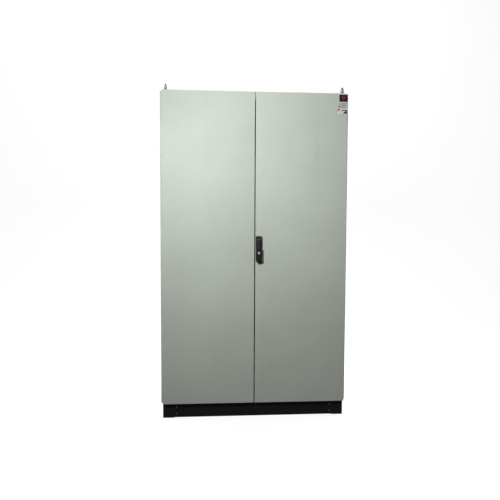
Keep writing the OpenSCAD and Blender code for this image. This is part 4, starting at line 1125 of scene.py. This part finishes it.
def switchgear():
    """Face details of the breaker and contactor in front of their CAD bodies."""
    dress("breaker_body", "dark", 1.6, 3)
    dress("contactor", "dark", 1.2, 3)
    dress("breaker_toggle", "black", 1.2, 3)
    lo, hi = mm_box("breaker_body")
    xc = (lo.x + hi.x) / 2
    bm = bmesh.new()
    for i, z0 in product(range(9), (lo.z + 76, lo.z + 186)):
        x = lo.x + 14 + i * 14
        add_box(bm, (x, lo.y - 0.4, z0), (x + 8, lo.y + 0.8, z0 + 8), 0.3, 1, 1)
    add_box(bm, (lo.x + 8, lo.y - 0.4, lo.z + 104), (xc - 28, lo.y + 0.6, lo.z + 166), 0.2, 1, 0)
    add_box(bm, (xc + 30, lo.y - 0.4, lo.z + 140), (hi.x - 10, lo.y + 0.6, lo.z + 160), 0.2, 1, 2)
    for i in range(3):
        add_stud(bm, (3.4, 1.2, 0.5, -0.4), (xc + 36 + i * 10, lo.y, lo.z + 118), 20, (0, 3, 0)[i])
    for x, z in product((lo.x + 9, hi.x - 9), (lo.z + 14, hi.z - 14)):
        screw_head(bm, (x, lo.y + 11.4, z), 4.0, 4)
    for x, z in product((xc - 46, xc, xc + 46), (lo.z + 16, hi.z - 16)):
        screw_head(bm, (x, lo.y + 48, z), 6.0, 4)
    piece("breaker_details", bm, ("label_grey", "black", "label_silver", "label_red", "nickel"))
    lo, hi = mm_box("contactor")
    bm = bmesh.new()
    xc = (lo.x + hi.x) / 2
    add_box(bm, (xc - 34, lo.y - 0.4, lo.z + 62), (xc + 34, lo.y + 0.6, lo.z + 84), 0.2, 1, 0)
    add_box(bm, (xc - 12, lo.y - 1.6, lo.z + 94), (xc + 12, lo.y + 0.6, lo.z + 116), 1.0, 2, 1)
    for x in (lo.x + 16, hi.x - 16):
        screw_head(bm, (x, lo.y + 61, lo.z + 90), 4.0, 2)
    for x, z in product((xc - 50, xc, xc + 50), (lo.z + 8, hi.z - 8)):
        screw_head(bm, (x, lo.y + 77.5, z), 6.0, 2)
    piece("contactor_details", bm, ("label_silver", "blue_plastic", "nickel"))
    dress("copper_bars", "copper", 0.5)


def control_gear():
    """Rail devices in front of their CAD blocks: levers, windows, lamps and screws."""
    dress("control_gear", "light", 0.9)
    bm = bmesh.new()
    for lo, hi in loose_boxes("control_gear"):
        wide = hi.x - lo.x
        mid = (lo.x + hi.x) / 2
        zc = (lo.z + hi.z) / 2
        raised_face = hi.z - lo.z < 65
        if not raised_face:
            for z in (lo.z + 7, hi.z - 7):
                count = max(1, int(wide / 12))
                for k in range(count):
                    x = lo.x + (k + 0.5) * wide / count
                    screw_head(bm, (x, lo.y + 0.4, z), min(2.6, wide / 5), 0)
        elif wide < 20:
            add_box(bm, (mid - 3.4, lo.y - 5.5, zc - 4), (mid + 3.4, lo.y + 1, zc + 8), 0.8, 2, 1)
            add_box(bm, (mid - 4.2, lo.y - 0.4, zc - 18), (mid + 4.2, lo.y + 0.4, zc - 10), 0.1, 1, 2)
        elif wide < 50:
            half = wide * 0.32
            add_box(bm, (mid - half, lo.y - 0.4, zc + 6), (mid + half, lo.y + 0.4, zc + 18), 0.1, 1, 2)
            for x, mat in ((mid - 6, 3), (mid + 6, 4)):
                add_stud(bm, (2.2, 1.4, 0.7, -0.3), (x, lo.y, zc - 8), 16, mat)
        else:
            add_box(bm, (mid - 22, lo.y - 0.4, zc - 2), (mid + 22, lo.y + 0.4, zc + 22), 0.1, 1, 5)
            for k in range(3):
                x = mid - 20 + k * 14
                add_box(bm, (x, lo.y - 1.2, zc - 20), (mid - 10 + k * 14, lo.y + 0.4, zc - 11), 0.6, 2, 1)
    piece("gear_details", bm, ("nickel", "black", "label_white", "label_green", "label_orange", "screen"))


def loose_boxes(node):
    """(low, high) in mm of each separate piece of a CAD node's mesh."""
    bm = bmesh.new()
    bm.from_mesh(nodes[node].data)
    bmesh.ops.remove_doubles(bm, verts=bm.verts, dist=1e-5)
    seen, boxes = set(), []
    for start in bm.verts:
        if start in seen:
            continue
        stack, group = [start], []
        seen.add(start)
        while stack:
            v = stack.pop()
            group.append(v.co / MM)
            for e in v.link_edges:
                other = e.other_vert(v)
                if other not in seen:
                    seen.add(other)
                    stack.append(other)
        boxes.append((Vector([min(p[i] for p in group) for i in range(3)]),
                      Vector([max(p[i] for p in group) for i in range(3)])))
    bm.free()
    return boxes


TERMINALS, PITCH = 30, 6.6  # terminals in one row, and their spacing in mm
DUCT_DEPTH = 58.5  # a wire duct body is at least this deep; its lids are thinner


def terminals():
    """Two rows of rail terminals with metal clamps, markers and earth pieces."""
    boxes = loose_boxes("terminal_blocks")
    rows = sorted({round((lo.z + hi.z) / 2) for lo, hi in boxes})
    bm = bmesh.new()
    x0 = min(lo.x for lo, hi in boxes)
    y1 = max(hi.y for lo, hi in boxes)
    tones = [0] * 18 + [1] * 6 + [2] * 6
    foot = [(0, 26), (20, 26), (30, 22), (33, 13)]  # (forward, away from the middle)
    for z in rows:
        for x in (x0, x0 + 209):
            add_box(bm, (x, y1 - 44.5, z - 28), (x + 9, y1, z + 28), 1.0, 2, 3)
        for i in range(TERMINALS):
            x = x0 + 10 + i * PITCH
            profile = [(y1 - u, z - w) for u, w in foot] + [(y1 - 39, z - 10), (y1 - 39.5, z + 10)]
            profile += [(y1 - u, z + w) for u, w in reversed(foot)]
            add_prism(bm, profile, x, x + 5.8, "x", tones[i])
            for s in (-1, 1):
                add_stud(bm, (1.9, 1.2, 0.3, -0.6), (x + 2.9, y1 - 31.6, z + s * 17.5), 12, 4)
                add_box(bm, (x + 0.9, y1 - 40.2, z + s * 5 - 3), (x + 4.9, y1 - 39, z + s * 5 + 3), 0, 1, 5)
    piece("terminal_rows", bm, ("light", "blue_plastic", "green_plastic", "dark", "nickel", "label_white"),
          "cabinet", "terminal_blocks")
    return rows, x0, y1


def wire_ducts():
    """Slotted ducts: fingers along both walls and a snapped-on lid."""
    bm = bmesh.new()
    for lo, hi in loose_boxes("wire_ducts"):
        if hi.y - lo.y < DUCT_DEPTH:
            continue
        upright = hi.z - lo.z > hi.x - lo.x
        a0, a1 = (lo.z, hi.z) if upright else (lo.x, hi.x)
        b0, b1 = (lo.x, hi.x) if upright else (lo.z, hi.z)

        def slab(c0, c1, y0, y1, d0, d1, bevel):
            low = (c0, y0, d0) if upright else (d0, y0, c0)
            high = (c1, y1, d1) if upright else (d1, y1, c1)
            add_box(bm, low, high, bevel, 1)

        slab(b0 + 0.5, b1 - 0.5, hi.y - 1.6, hi.y, a0, a1, 0.2)
        slab(b0, b1, lo.y, lo.y + 1.6, a0, a1, 0.5)
        for w in (b0, b1 - 1.2):
            slab(w, w + 1.2, lo.y + 1.6, lo.y + 6, a0, a1, 0)
            slab(w + 0.2, w + 1.2 - 0.2, hi.y - 14, hi.y - 1.6, a0, a1, 0)
            count = int((a1 - a0) / 12.5)
            for i in range(count):
                c = a0 + (i + 0.5) * (a1 - a0) / count
                slab(w + 0.1, w + 1.1, lo.y + 6, hi.y - 14, c - 3.9, c + 3.9, 0)
    piece("slotted_ducts", bm, "duct", instead_of="wire_ducts")


def control_wires(rows, x0, y1):
    """Short control wires from the terminals into the ducts above and below."""
    bm = bmesh.new()
    ducts = sorted((lo.z, hi.z) for lo, hi in loose_boxes("wire_ducts")
                   if hi.x - lo.x > hi.z - lo.z and hi.y - lo.y > DUCT_DEPTH)
    for row in rows:
        above = min(z for z, top in ducts if z > row)
        below = max(top for z, top in ducts if top < row)
        for i in range(TERMINALS):
            if (i * 7 + int(row)) % 5 == 0:
                continue
            x = x0 + 12.9 + i * PITCH
            mat = (0, 0, 1, 0, 2, 0, 3)[(i * 3 + int(row)) % 7]
            for s, end in ((1, above), (-1, below)):
                z = row + s * 21
                wobble = ((i * 37) % 11 - 5) * 0.35
                pts = [(x, y1 - 26, row + s * 19), (x, y1 - 29, z + s * 6)]
                pts += [(x + wobble, y1 - 31, (z + end) / 2)]
                pts += [(x + wobble * 1.4, y1 - 30, end - s * 5), (x + wobble, y1 - 28, end + s * 3)]
                add_tube(bm, smooth(pts, 3), 1.15, 6, mat)
    piece("control_wires", bm, ("cable", "blue_plastic", "red_plastic", "green_plastic"), "cabinet", (), 60)


def smooth(points, steps):
    """Points on a Catmull-Rom curve through the given points, in mm."""
    pts = [Vector(p) for p in points]
    pts = [pts[0] * 2 - pts[1]] + pts + [pts[-1] * 2 - pts[-2]]
    out = []
    for a, b, c, d in zip(pts, pts[1:], pts[2:], pts[3:]):
        for i in range(steps):
            t = i / steps
            square, cube = 2 * a - 5 * b + 4 * c - d, 3 * b - a - 3 * c + d
            out.append(0.5 * (2 * b + (c - a) * t + square * t * t + cube * t**3))
    return out + [pts[-2]]


# ------------------------------------------------------------------ reactors, cables, fans


def reactors():
    """Laminated cores and wound coils with insulated ends and copper tabs."""
    dress("reactor_cores", "core", 0.8)
    bm = bmesh.new()
    core_lo, core_hi = mm_box("reactor_cores")
    y0, y1 = core_lo.y + 6, core_hi.y - 6
    for lo, hi in loose_boxes("reactor_coils"):
        if hi.x - lo.x < 60:
            add_box(bm, lo, hi, 0.6, 2, 1)
            continue
        top = lo.z + 129
        mid = (lo.x + hi.x) / 2
        rows = []
        for i in range(35):
            z = lo.z + (top - lo.z) * i / 34
            dip = 0.0 if i % 2 or i in (0, 34) else 1.1
            outline = round_rect(lo.x + dip, hi.x - dip, y0 + dip, y1 - dip, 16.0, 6)
            rows.append(laid(outline, z, "z"))
        for z in (top, lo.z):
            rows.append(laid(round_rect(mid - 27, mid + 27, y0 + 23, y1 - 23, 2.0, 6), z, "z"))
        add_rings(bm, rows, loop=True)
        if lo.y < y0 - 1:
            add_box(bm, (mid - 9, lo.y, top), (mid + 9, y0 + 16, top + 4), 0.6, 2, 1)
            add_box(bm, (mid - 9, y1 - 16, top), (mid + 9, hi.y, top + 4), 0.6, 2, 1)
    piece("reactor_windings", bm, ("winding", "copper"), instead_of="reactor_coils")


def document_pocket():
    """Plastic pocket for the drawings, hung in the frame of the left door."""
    lo, hi = mm_box("left_door_stiffener")
    x0, x1 = lo.x + 70, hi.x - 70
    z0, z1 = 760.0, 1010.0
    y = DOOR_LO.y + SKIN
    bm = bmesh.new()
    add_box(bm, (x0, y + 0.4, z0), (x1, y + 2.4, z1 + 20), 0.6)
    add_box(bm, (x0, y + 26, z0), (x1, y + 28, z1 - 50), 0.6)
    for x in (x0, x1 - 2):
        outline = [(y + 1, z0), (y + 27, z0), (y + 27, z1 - 50), (y + 1, z1)]
        add_prism(bm, outline, x, x + 2, "x")
    add_box(bm, (x0, y + 1, z0), (x1, y + 27, z0 + 2), 0.4)
    piece("document_pocket", bm, "light", "left_door")
    bm = bmesh.new()
    for i in range(3):
        low = (x0 + 12 + i * 4, y + 4 + i * 6, z0 + 3)
        add_box(bm, low, (x0 + 224 + i * 4, y + 7 + i * 6, z1 + 8 - i * 9), 0.2, 1)
    piece("drawings", bm, "label_white", "left_door")


# ------------------------------------------------------------------ build everything

for door_name, side_sign in (("right_door", 1), ("left_door", -1)):
    door(door_name, side_sign)
    door_seal(door_name + "_gasket", door_name, side_sign)
    dress(door_name + "_stiffener", "zinc", 0.8)
side_panel("right_side_panel", 1)
side_panel("left_side_panel", -1)
roof()
rear()
grilles()
plinth()
lifting_eyes()
handle()
labels()
cabinet_frame()
drive_cover()
keypad()
switchgear()
control_gear()
control_wires(*terminals())
wire_ducts()
reactors()
document_pocket()

# CAD nodes shown as they are: material, edge rounding in mm, its segments, and the nodes
for look, edge, rounds, names in (
    ("cast", 0.5, 2, "right_hinge_leaves left_hinge_leaves hinge_brackets"),
    ("cast", 1.0, 3, "left_lock_lever"),
    ("steel", 0.4, 2, "hinge_pins"),
    ("sheet", 0.3, 1, "right_lock_case left_lock_case gland_plates"),
    ("sheet", 0.4, 2, "rod_keepers"),
    ("sheet", 0.5, 2, "mounting_plate"),
    ("sheet", 0.2, 1, "din_rails"),
    ("screw", 0.3, 1, "right_upper_rod right_lower_rod left_upper_rod left_lower_rod"),
    ("black", 0.8, 2, "cable_glands drive_fan_frame"),
    ("dark", 0.8, 2, "igbt_modules filter_housings"),
    ("drive_paint", 0.6, 2, "drive_chassis"),
    ("aluminium", 0.3, 1, "heatsink"),
    ("sleeve", 1.2, 3, "dc_capacitors"),
    ("board", 0.2, 1, "control_board"),
):
    for dressed in names.split():
        dress(dressed, look, edge, rounds)
dress("power_cables", "cable", 0, angle=60)

for rotor, axis_name, hub_r in (("drive_fan", "z", 21), ("filter_fan", "y", 32)):
    centre_at = pivot(rotor + "_spin")
    fan_lo, fan_hi = mm_box(rotor + "_rotor")
    axis_no = "xyz".index(axis_name)
    centre_at[axis_no] = fan_lo[axis_no]
    tip_r = (fan_hi.x - fan_lo.x) / 2 - 0.6
    curved_fan(rotor + "_rotor", centre_at, axis_name, hub_r, tip_r, fan_hi[axis_no] - fan_lo[axis_no])

# ------------------------------------------------------------------ floor, light, camera


def studio():
    """Pale floor that curves up behind into a backdrop, with plain walls on its other three sides."""
    bm = bmesh.new()
    # in mm: front edge, start of the curve, its radius, height, and half the width
    front, flat_end, r, top, side = -9000, 2600, 1500, 9000, 14000
    path = [(front, 0), (flat_end, 0)]
    for i in range(13):
        a = math.radians(90 * i / 12)
        path.append((flat_end + r * math.sin(a), r - r * math.cos(a)))
    path.append((flat_end + r, top))
    rows = [[bm.verts.new((x * MM, y * MM, z * MM)) for x in (-side, side)] for y, z in path]
    skin_rows(bm, rows)
    # the walls are seen only from behind and from the sides
    corners = [(-side, flat_end + r), (-side, front), (side, front), (side, flat_end + r)]
    walls = [[bm.verts.new((x * MM, y * MM, z * MM)) for z in (0, top)] for x, y in corners]
    skin_rows(bm, walls)
    floor = made_object("studio_floor", bm, False)
    floor.data.materials.append(studio_paint())
    finish_mesh(floor, 60)
    # the bright backdrop lights no piece, so the doors keep the key light's fall-off
    floor.visible_diffuse = False
    floor.visible_glossy = False


def studio_paint():
    """Grey paint that also shines evenly, so the floor and backdrop come out barely white."""
    s = Shader("studio_paint", 0.0, 0.9, 0.2)
    colour = s.mix(s.noise(0.6, 2.0), linear((120, 120, 119)), linear((124, 124, 123)))
    s.finish(colour, s.noise(6.0, 3.0), 0.85, 0.95)
    s.bsdf.inputs["Emission Color"].default_value = (1.0, 1.0, 1.0, 1.0)
    s.bsdf.inputs["Emission Strength"].default_value = 0.9
    return s.mat


def area_light(name, at, aim, size, power):
    """A rectangular lamp, its place and the point it is aimed at in mm, its size in metres."""
    data = bpy.data.lights.new(name, "AREA")
    data.shape = "RECTANGLE"
    data.size, data.size_y = size
    data.energy = power
    lamp = add_object(name, data)
    lamp.location = Vector(at) * MM
    lamp.rotation_euler = (Vector(aim) - Vector(at)).to_track_quat("-Z", "Y").to_euler()


def world_light(strength):
    """A faint even light from all round."""
    world = bpy.data.worlds.new("studio_world")
    bpy.context.scene.world = world
    world.use_nodes = True
    back = world.node_tree.nodes["Background"]
    back.inputs["Color"].default_value = (0.94, 0.97, 1.0, 1.0)
    back.inputs["Strength"].default_value = strength


def camera(at, yaw, pitch, roll, focal):
    """The camera: place in mm, angles in degrees from looking along +Y, focal length over sensor width."""
    data = bpy.data.cameras.new("photo_camera")
    data.sensor_width = 36.0
    data.lens = data.sensor_width * focal
    data.clip_end = 60.0
    cam = add_object("photo_camera", data)
    yaw, pitch, roll = math.radians(yaw), math.radians(pitch), math.radians(roll)
    look = Vector((math.sin(yaw) * math.cos(pitch), math.cos(yaw) * math.cos(pitch), math.sin(pitch)))
    right = look.cross(Vector((0, 0, 1))).normalized()
    up = right.cross(look)
    x = right * math.cos(roll) + up * math.sin(roll)
    y = up * math.cos(roll) - right * math.sin(roll)
    turn = Matrix((x, y, -look)).transposed().to_4x4()
    cam.matrix_world = Matrix.Translation(Vector(at) * MM) @ turn
    bpy.context.scene.camera = cam


studio()
world_light(0.08)
for lamp in (
    ("key", (-425, -2174, 2141), (-100, -310, 1400), (0.5, 0.5), 35),
    ("left", (-2600, 700, 1900), (-600, 0, 1100), (1.0, 2.0), 60),
    ("right", (2600, 700, 1900), (600, 0, 1100), (1.0, 2.0), 60),
    ("top", (0, 350, 4300), (0, 0, 2100), (1.5, 1.0), 45),
    ("rear", (300, 2500, 2200), (0, 290, 1100), (1.0, 1.6), 26),
    ("sweep", (0, 2300, 5200), (0, 4100, 1500), (5.0, 1.0), 120),
):
    area_light(*lamp)
camera((-258, -3500, 1273), 4.07, -3.20, 0.25, 501.5 / 500)
bpy.context.scene.view_settings.view_transform = "Standard"
